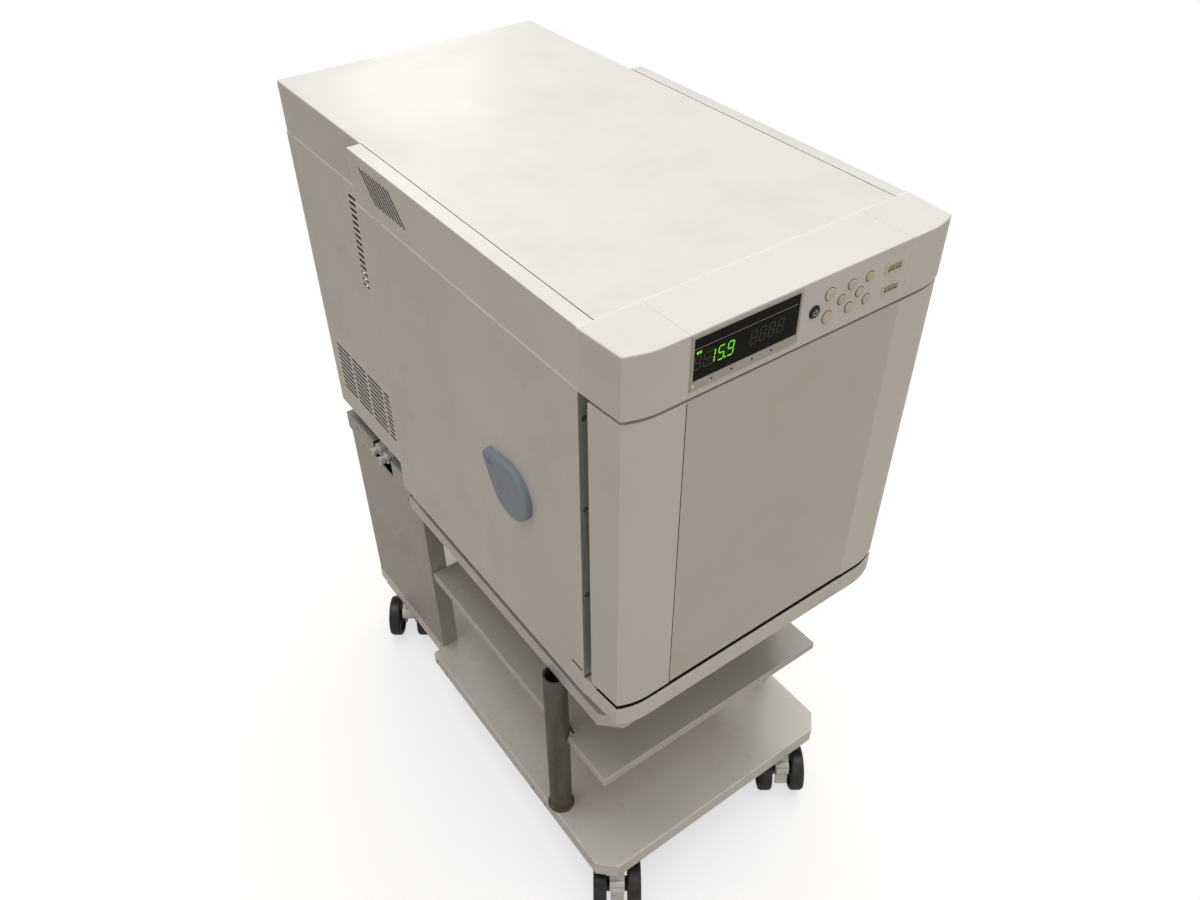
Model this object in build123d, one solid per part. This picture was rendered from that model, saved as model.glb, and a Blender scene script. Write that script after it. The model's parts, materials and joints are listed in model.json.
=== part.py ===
from build123d import *
from math import cos, degrees, radians, sin
import os

# A bench-top environmental test chamber on a wheeled stand, in millimetres. The floor is z = 0,
# x = 0 is the middle plane and the front faces -y. Everything is drawn with y = 0 on the cabinet's
# front plane, and save() moves it so that the origin lies under the middle of the whole object.
MIDDLE_Y = 320.0

# Cabinet
CABINET_WIDTH = 440.0
CABINET_DEPTH = 716.0
SHELL_DEPTH = 467.0
LEDGE = 19.5
BAND_HEIGHT = 70.0
PAN_TO_TOP = 533.0
SHELL_DROP = 4.0
SHEET = 1.2
PROUD = 1.2
SEAM = 0.3

# Stand
CASTER_HEIGHT = 99.0
STAND_SHEET = 1.6
BASE_HALF = 221.4
BASE_FRONT = -45.0
BASE_REAR = 702.0
BASE_FLANGE = 28.0
CORNER_CUT = 24.0
DECK_TOP = 466.0
DECK_FLANGE = 22.0
DECK_FRONT = -30.0
DECK_OVERLAP = 33.0
SHELF_TOP = 317.0
SHELF_FLANGE = 14.0
SHELF_HALF = 199.6
SHELF_FRONT = -13.0
COLUMN_WIDTH = 29.0
COLUMN_HALF = 203.0
COLUMN_FRONT = 460.0
COLUMN_REAR = 701.0
PLINTH_HEIGHT = 32.0
PLINTH_REAR = 710.0
NOTCH_FRONT = 551.0
NOTCH_LENGTH = 62.0
NOTCH_DEPTH = 24.0
POLE_RADIUS = 17.0
POLE_WALL = 3.0
POLE_Y = 92.0
WELD_LEG = 3.5
FOOT_HEIGHT = 54.0
FOOT_RADIUS = 19.0

# Bowed front, shared by the control head, the door and the chin
HEAD_DEPTH = 70.8
HEAD_HEIGHT = 71.0
BOW_RADIUS = 90.0
BOW_START = 175.0
CORNER_ANGLE = 26.9
FLAT_HALF = 145.4
HEAD_WALL = 2.5
CHIN_HEIGHT = 28.0

# Door
DOOR_TOP_GAP = 5.0
DOOR_HEIGHT = 423.0
DOOR_INSET = 1.0
DOOR_EDGE = 15.0
DOOR_WALL = 2.5
DOOR_OPEN_GAP = 1.5
CORE_HALF = 204.0
PLUG_CLEAR = 10.0
PLUG_DEPTH = 12.0
GASKET_WIDTH = 14.0
GASKET_CLEAR = 0.3
HINGE_X = 214.0
HINGE_Y = -8.0
HINGE_RADIUS = 5.0
HINGE_PIN = 3.0
HINGE_FROM_END = 18.0
RUNNING_GAP = 0.05

# Work space and what lies round it
SPACE_WIDTH = 300.0
SPACE_HEIGHT = 300.0
SPACE_DEPTH = 252.0
SPACE_FLOOR = 609.0
DUCT_DEPTH = 76.0
LINER = 1.2
FOAM_REAR = 50.0
FOAM_TOP = 50.0
FRAME_RECESS = 2.0
FRAME_SHEET = 1.5

# Cable port
PORT_Y = 133.6
PORT_Z = 759.0
PORT_BORE = 25.1
PORT_WALL = 2.0
CAP_RADIUS = 39.0
CAP_THICK = 9.0
CAP_RIM = 3.5
TAB_RADIUS = 12.0
TAB_REACH = 47.0
TAB_ANGLE = 27.0
STOPPER_LENGTH = 62.0
STOPPER_GAP = 0.3

# Pipe fittings
FITTING_BORE = 4.0
SPIGOT_RADIUS = 7.0
SPIGOT_END = 22.5

# Vents
SLOT_LENGTH = 46.0
SLOT_HEIGHT = 4.0
SLOT_PITCH_Y = 53.0
SLOT_PITCH_Z = 9.0
SLOT_COLUMNS = 4
LOUVRE_ROWS = 10
LOUVRE_TOP = 646.6
UPPER_ROWS = 15
UPPER_TOP = 962.6
UPPER_PITCH = 9.3
SLOT_REAR = 690.5
SLANT_COUNT = 9
SLANT_LENGTH = 50.0
SLANT_WIDTH = 3.4
SLANT_PITCH = 8.66
SLANT_FIRST_Y = 422.4
SLANT_BELOW_TOP = 32.5

# Controls on the head, all measured from the head's top edge and the middle plane
BEZEL_LEFT = -144.6
BEZEL_WIDTH = 138.0
BEZEL_HEIGHT = 61.5
BEZEL_DROP = 3.0
BEZEL_DEPTH = 8.0
GLASS_BORDER = 3.0
GLASS_STRIP = 10.5
GLASS_THICK = 2.0
KEY_RISE = 1.8
KEY_FLANGE = 1.2
KEY_LIP = 1.3
KEY_GAP = 0.3
KEY_TRAVEL = 1.2
LARGE_KEY = 6.6
SMALL_KEY = 5.3
KEYS = {
    "power": (12.2, 36.7, LARGE_KEY),
    "up_left": (31.5, 23.6, LARGE_KEY),
    "low_left": (31.5, 49.8, LARGE_KEY),
    "middle": (49.7, 36.7, SMALL_KEY),
    "up_centre": (62.0, 23.6, SMALL_KEY),
    "low_centre": (62.0, 49.8, SMALL_KEY),
    "centre_right": (75.0, 36.7, SMALL_KEY),
    "up_right": (87.4, 23.6, SMALL_KEY),
    "low_right": (87.4, 49.8, SMALL_KEY),
}
THUMB_X = 123.9
THUMB_DROPS = (25.3, 49.8)
THUMB_WIDTH = 27.0
THUMB_HEIGHT = 13.0
THUMB_LIP = 0.75
THUMB_PROUD = 0.8
THUMB_DEPTH = 17.0
THUMB_WALL = 1.5
WHEEL_COUNT = 4
DIAL_RADIUS = 6.6
DIAL_WIDTH = 4.0
DIAL_PITCH = 5.4
DIAL_SHAFT = 1.5

# Casters
CASTER_X = 170.0
CASTER_FRONT = -5.0
CASTER_REAR = 655.0
WHEEL_RADIUS = 37.5
WHEEL_WIDTH = 20.0
WHEEL_INNER = 16.0
TRAIL = 28.0
PLATE_HALF = 35.0
PLATE_THICK = 3.0
RACE_RADIUS = 20.0
FORK_HALF = 11.0
FORK_SHEET = 3.0
AXLE_RADIUS = 4.0
RACE_HEIGHT = 4.0
HUB_THICK = 8.0
KING_PIN = 5.0
LEVER_PIN = 2.5
NOSE_RADIUS = 12.0
NOSE_TRAIL = 40.0
NOSE_Z = 60.0
PEDAL_THICK = 2.5
PEDAL_HALF = 10.0
HEADINGS = {
    "front_left": (-CASTER_X, CASTER_FRONT, 234.0),
    "front_right": (CASTER_X, CASTER_FRONT, 234.0),
    "rear_left": (-CASTER_X, CASTER_REAR, 234.0),
    "rear_right": (CASTER_X, CASTER_REAR, 300.0),
}

# Places that follow from the sizes above
BASE_TOP = CASTER_HEIGHT + BASE_FLANGE
PAN_Z = DECK_TOP + FOOT_HEIGHT
TOP_Z = PAN_Z + PAN_TO_TOP
SHELL_Z = PAN_Z - SHELL_DROP
BAND_Z = TOP_Z - BAND_HEIGHT
HEAD_Z = TOP_Z - HEAD_HEIGHT
HALF = CABINET_WIDTH / 2
TOP_HALF = HALF - LEDGE
SKIN = HALF - SHEET
DOOR_TOP = HEAD_Z - DOOR_TOP_GAP
DOOR_BOTTOM = DOOR_TOP - DOOR_HEIGHT
FRAME_BACK = FRAME_RECESS + FRAME_SHEET
CORE_REAR = -DOOR_EDGE + DOOR_OPEN_GAP
SPACE_TOP = SPACE_FLOOR + SPACE_HEIGHT
LINER_REAR = FRAME_RECESS + SPACE_DEPTH + DUCT_DEPTH
POLE_X = COLUMN_HALF + 1.2
DECK_HALF = POLE_X + STAND_SHEET / 2
FACE_Y = -HEAD_DEPTH
INNER_Y = FACE_Y + HEAD_WALL


def save(name, *solids):
    """Writes one node, moved so that the origin lies under the middle of the object."""
    placed = [Pos(0, -MIDDLE_Y, 0) * solid for solid in solids]
    shape = placed[0] if len(placed) == 1 else Compound(children=placed)
    export_step(shape, f"parts/{name}.step")


def block(x, y, z):
    """A rectangular block from (low, high) pairs."""
    size = [high - low for low, high in (x, y, z)]
    middle = [(low + high) / 2 for low, high in (x, y, z)]
    return Pos(*middle) * Box(*size)


def both(shape):
    """The shape and its mirror image across the middle plane."""
    return [shape, mirror(shape, about=Plane.YZ)]


def upright(face, low, high):
    """A plan face carried straight up from low to high."""
    return extrude(Pos(0, 0, low) * face, high - low)


def rod(radius, start, end):
    """A round bar between two points."""
    run = Vector(*end) - Vector(*start)
    return extrude(Plane(origin=start, z_dir=run) * Circle(radius), run.length)


def tray(plan, top, flange, sheet):
    """Folded sheet: a flat top with a flange turned down all round it."""
    outside = upright(plan, top - flange, top)
    inside = upright(offset(plan, -sheet, kind=Kind.INTERSECTION), top - flange, top - sheet)
    edges = outside.edges().group_by(Axis.Z)[-1]
    return fillet(edges, sheet) - inside


def cut_corner_plan(half, front, rear, cut):
    """A rectangle with its two front corners cut off at 45 degrees."""
    points = [
        (-half, rear),
        (-half, front + cut),
        (-half + cut, front),
        (half - cut, front),
        (half, front + cut),
        (half, rear),
    ]
    return make_face(Polyline(*points, close=True))


def bow_plan(back, inset=0.0):
    """Plan of the bowed front: a flat middle, an arc to each corner and tapering sides."""
    centre_y = BOW_RADIUS - HEAD_DEPTH
    radius = BOW_RADIUS - inset

    def on_arc(side, angle):
        x = BOW_START + radius * sin(radians(angle))
        return (side * x, centre_y - radius * cos(radians(angle)))

    edges = [
        Line(on_arc(-1, 0), on_arc(1, 0)),
        Line((HALF - inset, back), (inset - HALF, back)),
    ]
    for side in (-1, 1):
        corner = on_arc(side, CORNER_ANGLE)
        edges.append(Line((side * (HALF - inset), back), corner))
        edges.append(ThreePointArc(corner, on_arc(side, CORNER_ANGLE / 2), on_arc(side, 0)))
    return make_face(edges)


def bow_shell(low, high, inset, back, wall):
    """A bowed cover, open at the back, with rounded top edges."""
    solid = upright(bow_plan(back, inset), low, high)
    front_edges = solid.edges().filter_by(lambda edge: edge.center().Y < back - 1)
    solid = fillet(front_edges.group_by(Axis.Z)[-1], 1.5)
    hollow = upright(bow_plan(back + 1, inset + wall), low + wall, high - wall)
    return solid - hollow


def slot_grid(x, first, columns, rows, pitch_z):
    """Level slots through a side wall: first is the rear top corner as (y, z)."""
    cutters = []
    for column in range(columns):
        rear = first[0] - column * SLOT_PITCH_Y
        for row in range(rows):
            middle = first[1] - row * pitch_z
            cutters.append(
                block(
                    (x - 5, x + 5),
                    (rear - SLOT_LENGTH, rear),
                    (middle - SLOT_HEIGHT / 2, middle + SLOT_HEIGHT / 2),
                )
            )
    return cutters


# Stand


def make_base():
    """Base tray: wide in front, narrower between the rear casters."""
    front = cut_corner_plan(BASE_HALF, BASE_FRONT, COLUMN_FRONT, CORNER_CUT)
    rear = Pos(0, (COLUMN_FRONT + BASE_REAR) / 2) * Rectangle(
        2 * COLUMN_HALF, BASE_REAR - COLUMN_FRONT
    )
    save("base", tray(front + rear, BASE_TOP, BASE_FLANGE, STAND_SHEET))


def make_caster_mounts():
    """Two folded channels under the base, with the plates of the four casters bolted on."""
    width = 2 * PLATE_HALF
    top = BASE_TOP - STAND_SHEET
    reach = CASTER_X + PLATE_HALF - 6
    channels = []
    for y in (CASTER_FRONT, CASTER_REAR):
        outside = block((-reach, reach), (y - PLATE_HALF, y + PLATE_HALF), (CASTER_HEIGHT, top))
        inside = block(
            (-reach, reach),
            (y - width / 2 + FORK_SHEET, y + width / 2 - FORK_SHEET),
            (CASTER_HEIGHT + FORK_SHEET, top),
        )
        channels.append(outside - inside)
    save("caster_mounts", *channels, *caster_plates())


def make_columns():
    """Two rectangular sheet columns behind the middle shelf."""
    width = COLUMN_WIDTH
    length = COLUMN_REAR - COLUMN_FRONT
    middle = (COLUMN_HALF - width / 2, (COLUMN_FRONT + COLUMN_REAR) / 2)
    outside = Rectangle(width, length)
    inside = Rectangle(width - 2 * STAND_SHEET, length - 2 * STAND_SHEET)
    outside = fillet(outside.vertices(), STAND_SHEET)
    column = upright(Pos(*middle) * (outside - inside), BASE_TOP, DECK_TOP - STAND_SHEET)
    save("columns", *both(column))


def make_poles():
    """Bare steel pipes between the base and the deck's flange, welded round the foot."""
    top = DECK_TOP - DECK_FLANGE
    pipe = upright(Circle(POLE_RADIUS) - Circle(POLE_RADIUS - POLE_WALL), BASE_TOP, top)
    inner = POLE_RADIUS - POLE_WALL / 2
    weld = make_face(
        Polyline(
            (inner, 0, BASE_TOP),
            (POLE_RADIUS + WELD_LEG, 0, BASE_TOP),
            (POLE_RADIUS, 0, BASE_TOP + WELD_LEG),
            (inner, 0, BASE_TOP + WELD_LEG),
            close=True,
        )
    )
    pole = Pos(POLE_X, POLE_Y, 0) * (pipe + revolve(weld, Axis.Z))
    save("poles", *both(pole))


def make_deck():
    """Top tray of the stand, lapped over the columns at the rear."""
    rear = COLUMN_FRONT + DECK_OVERLAP
    plan = cut_corner_plan(DECK_HALF, DECK_FRONT, rear, CORNER_CUT)
    deck = tray(plan, DECK_TOP, DECK_FLANGE, STAND_SHEET)
    column_room = block(
        (COLUMN_HALF - COLUMN_WIDTH - SEAM, COLUMN_HALF + SEAM),
        (COLUMN_FRONT - SEAM, rear + 1),
        (DECK_TOP - DECK_FLANGE - 1, DECK_TOP - STAND_SHEET),
    )
    for room in both(column_room):
        deck -= room
    save("deck", deck)


def make_mid_shelf():
    """Open shelf with a notch round each pole, bolted to the columns' front faces."""
    plan = Pos(0, (SHELF_FRONT + COLUMN_FRONT) / 2) * Rectangle(
        2 * SHELF_HALF, COLUMN_FRONT - SHELF_FRONT
    )
    edge = POLE_X - POLE_RADIUS - SEAM
    notch = Pos((edge + SHELF_HALF + 1) / 2, POLE_Y) * Rectangle(
        SHELF_HALF + 1 - edge, 2 * (POLE_RADIUS + 2)
    )
    for cut in both(notch):
        plan -= cut
    save("mid_shelf", tray(plan, SHELF_TOP, SHELF_FLANGE, STAND_SHEET))


def make_plinth():
    """Raised rear tray on the columns, cut away where the pipe fittings hang."""
    front = COLUMN_FRONT + DECK_OVERLAP + SEAM
    low = DECK_TOP - STAND_SHEET
    plan = Pos(0, (front + PLINTH_REAR) / 2) * Rectangle(2 * COLUMN_HALF, PLINTH_REAR - front)
    plinth = tray(plan, DECK_TOP + PLINTH_HEIGHT, DECK_TOP + PLINTH_HEIGHT - low, STAND_SHEET)
    notch = block(
        (-COLUMN_HALF - 1, -COLUMN_HALF + NOTCH_DEPTH),
        (NOTCH_FRONT, NOTCH_FRONT + NOTCH_LENGTH),
        (low - 1, DECK_TOP + PLINTH_HEIGHT + 1),
    )
    save("plinth", plinth - notch)


def make_feet():
    """Four screw feet that lift the cabinet off the deck."""
    pad = make_face(
        Polyline(
            (0, 0, DECK_TOP),
            (FOOT_RADIUS, 0, DECK_TOP),
            (FOOT_RADIUS, 0, DECK_TOP + 8),
            (FOOT_RADIUS - 4, 0, DECK_TOP + 14),
            (8, 0, DECK_TOP + 16),
            (8, 0, PAN_Z - 8),
            (13, 0, PAN_Z - 8),
            (13, 0, PAN_Z),
            (0, 0, PAN_Z),
            close=True,
        )
    )
    foot = revolve(pad, Axis.Z)
    spots = [(x, y) for x in (-160, 160) for y in (40, COLUMN_FRONT - 30)]
    save("cabinet_feet", *[Pos(x, y, 0) * foot for x, y in spots])


# Casters


def caster_plates():
    """Bolted top plates with the swivel race and the riveted king pin."""
    fork_top = CASTER_HEIGHT - PLATE_THICK - RACE_HEIGHT
    crown = fork_top - HUB_THICK
    plate = Rectangle(2 * PLATE_HALF - 4, 2 * PLATE_HALF - 4)
    plate = fillet(plate.vertices(), 6)
    holes = GridLocations(2 * PLATE_HALF - 18, 2 * PLATE_HALF - 18, 2, 2) * Circle(3.3)
    plate = upright(plate - holes, CASTER_HEIGHT - PLATE_THICK, CASTER_HEIGHT)
    race = make_face(
        Polyline(
            (0, 0, CASTER_HEIGHT - PLATE_THICK),
            (RACE_RADIUS, 0, CASTER_HEIGHT - PLATE_THICK),
            (RACE_RADIUS - 2, 0, fork_top + SEAM),
            (KING_PIN, 0, fork_top + SEAM),
            (KING_PIN, 0, crown - SEAM),
            (KING_PIN + 2.5, 0, crown - SEAM),
            (KING_PIN + 1, 0, crown - 4),
            (0, 0, crown - 4),
            close=True,
        )
    )
    unit = plate + revolve(race, Axis.Z)
    return [Pos(x, y, 0) * unit for x, y, _ in HEADINGS.values()]


def make_caster_forks():
    """Pressed forks between the twin wheels, with a round nose where the stop lever turns."""
    top = CASTER_HEIGHT - PLATE_THICK - RACE_HEIGHT
    crown = top - HUB_THICK
    nose_top = NOSE_Z + NOSE_RADIUS
    outline = make_face(
        Polyline(
            (-18, 0, crown),
            (18, 0, crown),
            (NOSE_TRAIL, 0, nose_top),
            (NOSE_TRAIL, 0, 34),
            (NOSE_TRAIL - 5, 0, 26),
            (TRAIL - 8, 0, 26),
            (-12, 0, 66),
            close=True,
        )
    )
    nose = Plane.XZ * Pos(NOSE_TRAIL, NOSE_Z) * Circle(NOSE_RADIUS)
    side = outline + nose
    cheeks = extrude(side, FORK_HALF, both=True) - extrude(side, FORK_HALF - FORK_SHEET, both=True)
    hood = make_face(
        Polyline(
            (-18, 0, crown),
            (18, 0, crown),
            (NOSE_TRAIL, 0, nose_top),
            (NOSE_TRAIL, 0, nose_top - FORK_SHEET),
            (17, 0, crown - FORK_SHEET),
            (-17, 0, crown - FORK_SHEET),
            close=True,
        )
    )
    wrap = Circle(NOSE_RADIUS) - Circle(NOSE_RADIUS - FORK_SHEET)
    wrap &= Pos(NOSE_RADIUS, 0) * Rectangle(2 * NOSE_RADIUS, 2 * NOSE_RADIUS)
    bridge = hood + Plane.XZ * Pos(NOSE_TRAIL, NOSE_Z) * wrap
    body = cheeks + extrude(bridge, FORK_HALF, both=True)
    hub = upright(Circle(RACE_RADIUS - 2), crown, top)
    rivet_room = upright(Circle(9), crown - 12, crown)
    king_hole = upright(Circle(KING_PIN + RUNNING_GAP), crown - 1, top + 1)
    axle_hole = Pos(TRAIL, 0, WHEEL_RADIUS) * Rot(90, 0, 0) * Cylinder(
        AXLE_RADIUS + RUNNING_GAP, 4 * FORK_HALF
    )
    pin_hole = Pos(NOSE_TRAIL, 0, NOSE_Z) * Rot(90, 0, 0) * Cylinder(
        LEVER_PIN + RUNNING_GAP, 4 * FORK_HALF
    )
    slot = block((NOSE_TRAIL + 4, NOSE_TRAIL + 20), (-6, 6), (NOSE_Z - 7, NOSE_Z + 7))
    plain = (body + hub) - rivet_room - axle_hole - king_hole
    for name, (x, y, heading) in HEADINGS.items():
        fork = plain
        if name.startswith("front"):
            fork = plain - pin_hole - slot
        save(f"caster_fork_{name}", Pos(x, y, 0) * Rot(0, 0, heading) * fork)


def make_caster_wheels():
    """Twin wheels on one axle, on both sides of the fork."""
    outer = WHEEL_INNER + WHEEL_WIDTH
    profile = make_face(
        Polyline(
            (AXLE_RADIUS + RUNNING_GAP, FORK_HALF + SEAM, 0),
            (11, FORK_HALF + SEAM, 0),
            (11, WHEEL_INNER + 4, 0),
            (WHEEL_RADIUS - 8, WHEEL_INNER + 4, 0),
            (WHEEL_RADIUS - 8, WHEEL_INNER, 0),
            (WHEEL_RADIUS - 2, WHEEL_INNER, 0),
            (WHEEL_RADIUS, WHEEL_INNER + 3, 0),
            (WHEEL_RADIUS, outer - 3, 0),
            (WHEEL_RADIUS - 2, outer, 0),
            (WHEEL_RADIUS - 8, outer, 0),
            (WHEEL_RADIUS - 10, outer - 4, 0),
            (10, outer - 4, 0),
            (AXLE_RADIUS + RUNNING_GAP, outer - 2, 0),
            close=True,
        )
    )
    wheel = revolve(profile, Axis.Y)
    axle = Rot(90, 0, 0) * Cylinder(AXLE_RADIUS, 2 * (outer - 2))
    raised = Pos(TRAIL, 0, WHEEL_RADIUS)
    for name, (x, y, heading) in HEADINGS.items():
        place = Pos(x, y, 0) * Rot(0, 0, heading) * raised
        wheels = [place * wheel, place * Rot(0, 0, 180) * wheel, place * axle]
        save(f"caster_wheels_{name}", *wheels)


def make_stop_levers():
    """Stop levers of the front casters: a pedal wrapped round the fork's nose, on a pin."""
    inner = NOSE_RADIUS + 0.4
    outer = inner + PEDAL_THICK
    ring = Circle(outer) - Circle(inner)
    wedge = make_face(Polyline((0, 0), (40, -52), (40, 30), close=True))
    wrap = ring & wedge
    low_angle = radians(-52.4)
    start = (inner * cos(low_angle), inner * sin(low_angle))
    tab = Pos(*start) * Rot(0, 0, -70) * Pos(9.5, PEDAL_THICK / 2) * Rectangle(19, PEDAL_THICK)
    pedal = extrude(Plane.XZ * (wrap + tab), PEDAL_HALF, both=True)
    arm = extrude(Plane.XZ * Pos(inner / 2 + 1, 0) * Rectangle(inner, 5), 5, both=True)
    hub = Rot(90, 0, 0) * Cylinder(5, 2 * (FORK_HALF - FORK_SHEET - SEAM))
    pin = Rot(90, 0, 0) * Cylinder(LEVER_PIN, 2 * FORK_HALF)
    lever = Pos(NOSE_TRAIL, 0, NOSE_Z) * (pedal + arm + hub + pin)
    for name, (x, y, heading) in HEADINGS.items():
        if name.startswith("front"):
            save(f"stop_lever_{name}", Pos(x, y, 0) * Rot(0, 0, heading) * lever)


# Cabinet sheet metal


def make_bottom_pan():
    """Chassis pan with upturned flanges, wide under the shell and narrow at the rear."""
    rear_half = TOP_HALF - SHEET
    wide = Pos(0, (FRAME_BACK + SHELL_DEPTH - SHEET) / 2) * Rectangle(
        2 * SKIN, SHELL_DEPTH - SHEET - FRAME_BACK
    )
    narrow = Pos(0, (SHELL_DEPTH + CABINET_DEPTH) / 2 - SHEET) * Rectangle(
        2 * rear_half, CABINET_DEPTH - SHELL_DEPTH
    )
    plan = wide + narrow
    outside = upright(plan, PAN_Z, PAN_Z + 20)
    inside = upright(offset(plan, -SHEET, kind=Kind.INTERSECTION), PAN_Z + SHEET, PAN_Z + 20)
    half = SKIN - SHEET
    mouth = block((-half, half), (FRAME_BACK - 1, FRAME_BACK + 2), (PAN_Z + SHEET, PAN_Z + 21))
    save("bottom_pan", outside - inside - mouth)


def make_side_panels():
    """Lower side panels of the front shell; the left one has the cable port and a level slot."""
    outside = block((-HALF, -SKIN), (0, SHELL_DEPTH), (SHELL_Z, BAND_Z))
    rear_return = block((-HALF, -TOP_HALF - SEAM - SHEET), (SHELL_DEPTH - SHEET, SHELL_DEPTH),
                        (SHELL_Z, BAND_Z))
    bottom_return = block((-HALF, -HALF + 15), (0, SHELL_DEPTH), (SHELL_Z, SHELL_Z + SHEET))
    panel = outside + rear_return + bottom_return
    right = mirror(panel, about=Plane.YZ)
    port = Pos(-HALF, PORT_Y, PORT_Z) * Rot(0, 90, 0) * Cylinder(
        PORT_BORE + PORT_WALL + SEAM, 20
    )
    level_slot = block((-HALF - 1, -SKIN + 1), (3, 24), (SHELL_Z + 40, SHELL_Z + 44))
    save("side_panels", panel - port - level_slot, right)


def make_top_rails():
    """Ledges beside the top panel: folded rails with nine slanted vents."""
    outer = HALF - PROUD
    inner = TOP_HALF + SEAM
    profile = [
        ((-outer, -outer + SHEET), (BAND_Z, TOP_Z)),
        ((-outer, -inner), (TOP_Z - SHEET, TOP_Z)),
        ((-inner - SHEET, -inner), (TOP_Z - 16, TOP_Z)),
    ]
    rail = None
    for x, z in profile:
        wall = block(x, (0, SHELL_DEPTH), z)
        rail = wall if rail is None else rail + wall
    rail += block((-outer, -inner), (SHELL_DEPTH - SHEET, SHELL_DEPTH), (BAND_Z, TOP_Z))
    crown = rail.edges().filter_by(Axis.Y).sort_by(lambda edge: edge.center().X - edge.center().Z)[0]
    rail = fillet(crown, 1.0)
    for step in range(SLANT_COUNT):
        y = SLANT_FIRST_Y - step * SLANT_PITCH
        cutter = Rot(45, 0, 0) * Box(10, SLANT_LENGTH, SLANT_WIDTH)
        rail -= Pos(-outer, y, TOP_Z - SLANT_BELOW_TOP) * cutter
    save("top_rails", *both(rail))


def make_top_panel():
    """Top panel folded down along both sides and the rear."""
    outside = block((-TOP_HALF, TOP_HALF), (0, CABINET_DEPTH), (BAND_Z, TOP_Z))
    outside = fillet(outside.edges().group_by(Axis.Z)[-1].filter_by(Axis.Y), 1.5)
    inside = block(
        (-TOP_HALF + SHEET, TOP_HALF - SHEET), (-1, CABINET_DEPTH - SHEET), (BAND_Z - 1, TOP_Z - SHEET)
    )
    save("top_panel", outside - inside)


def make_rear_sides():
    """Rear side panels with an upper column of slots and a lower block of louvres."""
    inner = TOP_HALF
    low = PAN_Z + SHEET
    panel = block((-inner - SHEET, -inner), (SHELL_DEPTH - 36, CABINET_DEPTH), (low, BAND_Z))
    lip = block((-inner, -inner + 14), (CABINET_DEPTH - SHEET, CABINET_DEPTH), (low, BAND_Z))
    panel += lip
    panel -= block(
        (-inner - SHEET - 1, -inner + 1), (0, SHELL_DEPTH + SEAM), (low - 1, PAN_Z + 20 + SEAM)
    )
    upper_rear = SLOT_REAR - (SLOT_COLUMNS - 1) * SLOT_PITCH_Y
    for cutter in slot_grid(-inner, (SLOT_REAR, LOUVRE_TOP), SLOT_COLUMNS, LOUVRE_ROWS, SLOT_PITCH_Z):
        panel -= cutter
    for cutter in slot_grid(-inner, (upper_rear, UPPER_TOP), 1, UPPER_ROWS, UPPER_PITCH):
        panel -= cutter
    save("rear_side_panels", *both(panel))


def make_rear_panel():
    """Back of the machine space: two blocks of vent slots and a hole for the power inlet."""
    half = TOP_HALF - 14 - SEAM
    low = PAN_Z + 20
    panel = block((-half, half), (CABINET_DEPTH - SHEET, CABINET_DEPTH), (low, BAND_Z))
    for middle in (-90, 90):
        for row in range(12):
            z = low + 60 + row * 12
            panel -= block(
                (middle - 60, middle + 60), (CABINET_DEPTH - 5, CABINET_DEPTH + 5), (z, z + 5)
            )
    inlet = block((-25, 25), (CABINET_DEPTH - 5, CABINET_DEPTH + 5), (BAND_Z - 90, BAND_Z - 60))
    save("rear_panel", panel - inlet)
    body = block(
        (-25 + SEAM, 25 - SEAM),
        (CABINET_DEPTH - 30, CABINET_DEPTH),
        (BAND_Z - 90 + SEAM, BAND_Z - 60 - SEAM),
    )
    rim = block((-32, 32), (CABINET_DEPTH, CABINET_DEPTH + 3), (BAND_Z - 96, BAND_Z - 54))
    rim = fillet(rim.edges().filter_by(Axis.Y), 5)
    well = block((-18, 18), (CABINET_DEPTH - 18, CABINET_DEPTH + 4), (BAND_Z - 86, BAND_Z - 64))
    inlet_part = (body + rim) - well
    for x in (-9, 0, 9):
        inlet_part += block(
            (x - 1, x + 1), (CABINET_DEPTH - 20, CABINET_DEPTH - 4), (BAND_Z - 79, BAND_Z - 71)
        )
    save("power_inlet", inlet_part)


def make_front_frame():
    """Steel face behind the head, the door and the chin, open round the work space."""
    half = SKIN - SEAM
    plate = block((-half, half), (FRAME_RECESS, FRAME_BACK), (PAN_Z, TOP_Z - SHEET - SEAM))
    side = SPACE_WIDTH / 2 + LINER
    hole = block(
        (-side, side), (0, FRAME_BACK + 1), (SPACE_FLOOR - LINER, SPACE_TOP + LINER)
    )
    lips = [
        block((x, x + SHEET), (FRAME_RECESS, FRAME_BACK + 12), (PAN_Z + 21, BAND_Z - 20))
        for x in (-half, half - SHEET)
    ]
    frame = plate - hole
    for lip in lips:
        frame += lip
    corner = block((TOP_HALF - SHEET - SEAM, half + 1), (0, FRAME_BACK + 1), (BAND_Z - SEAM, TOP_Z))
    for cut in both(corner):
        frame -= cut
    save("front_frame", frame)


# Insulated body and work space


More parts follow.
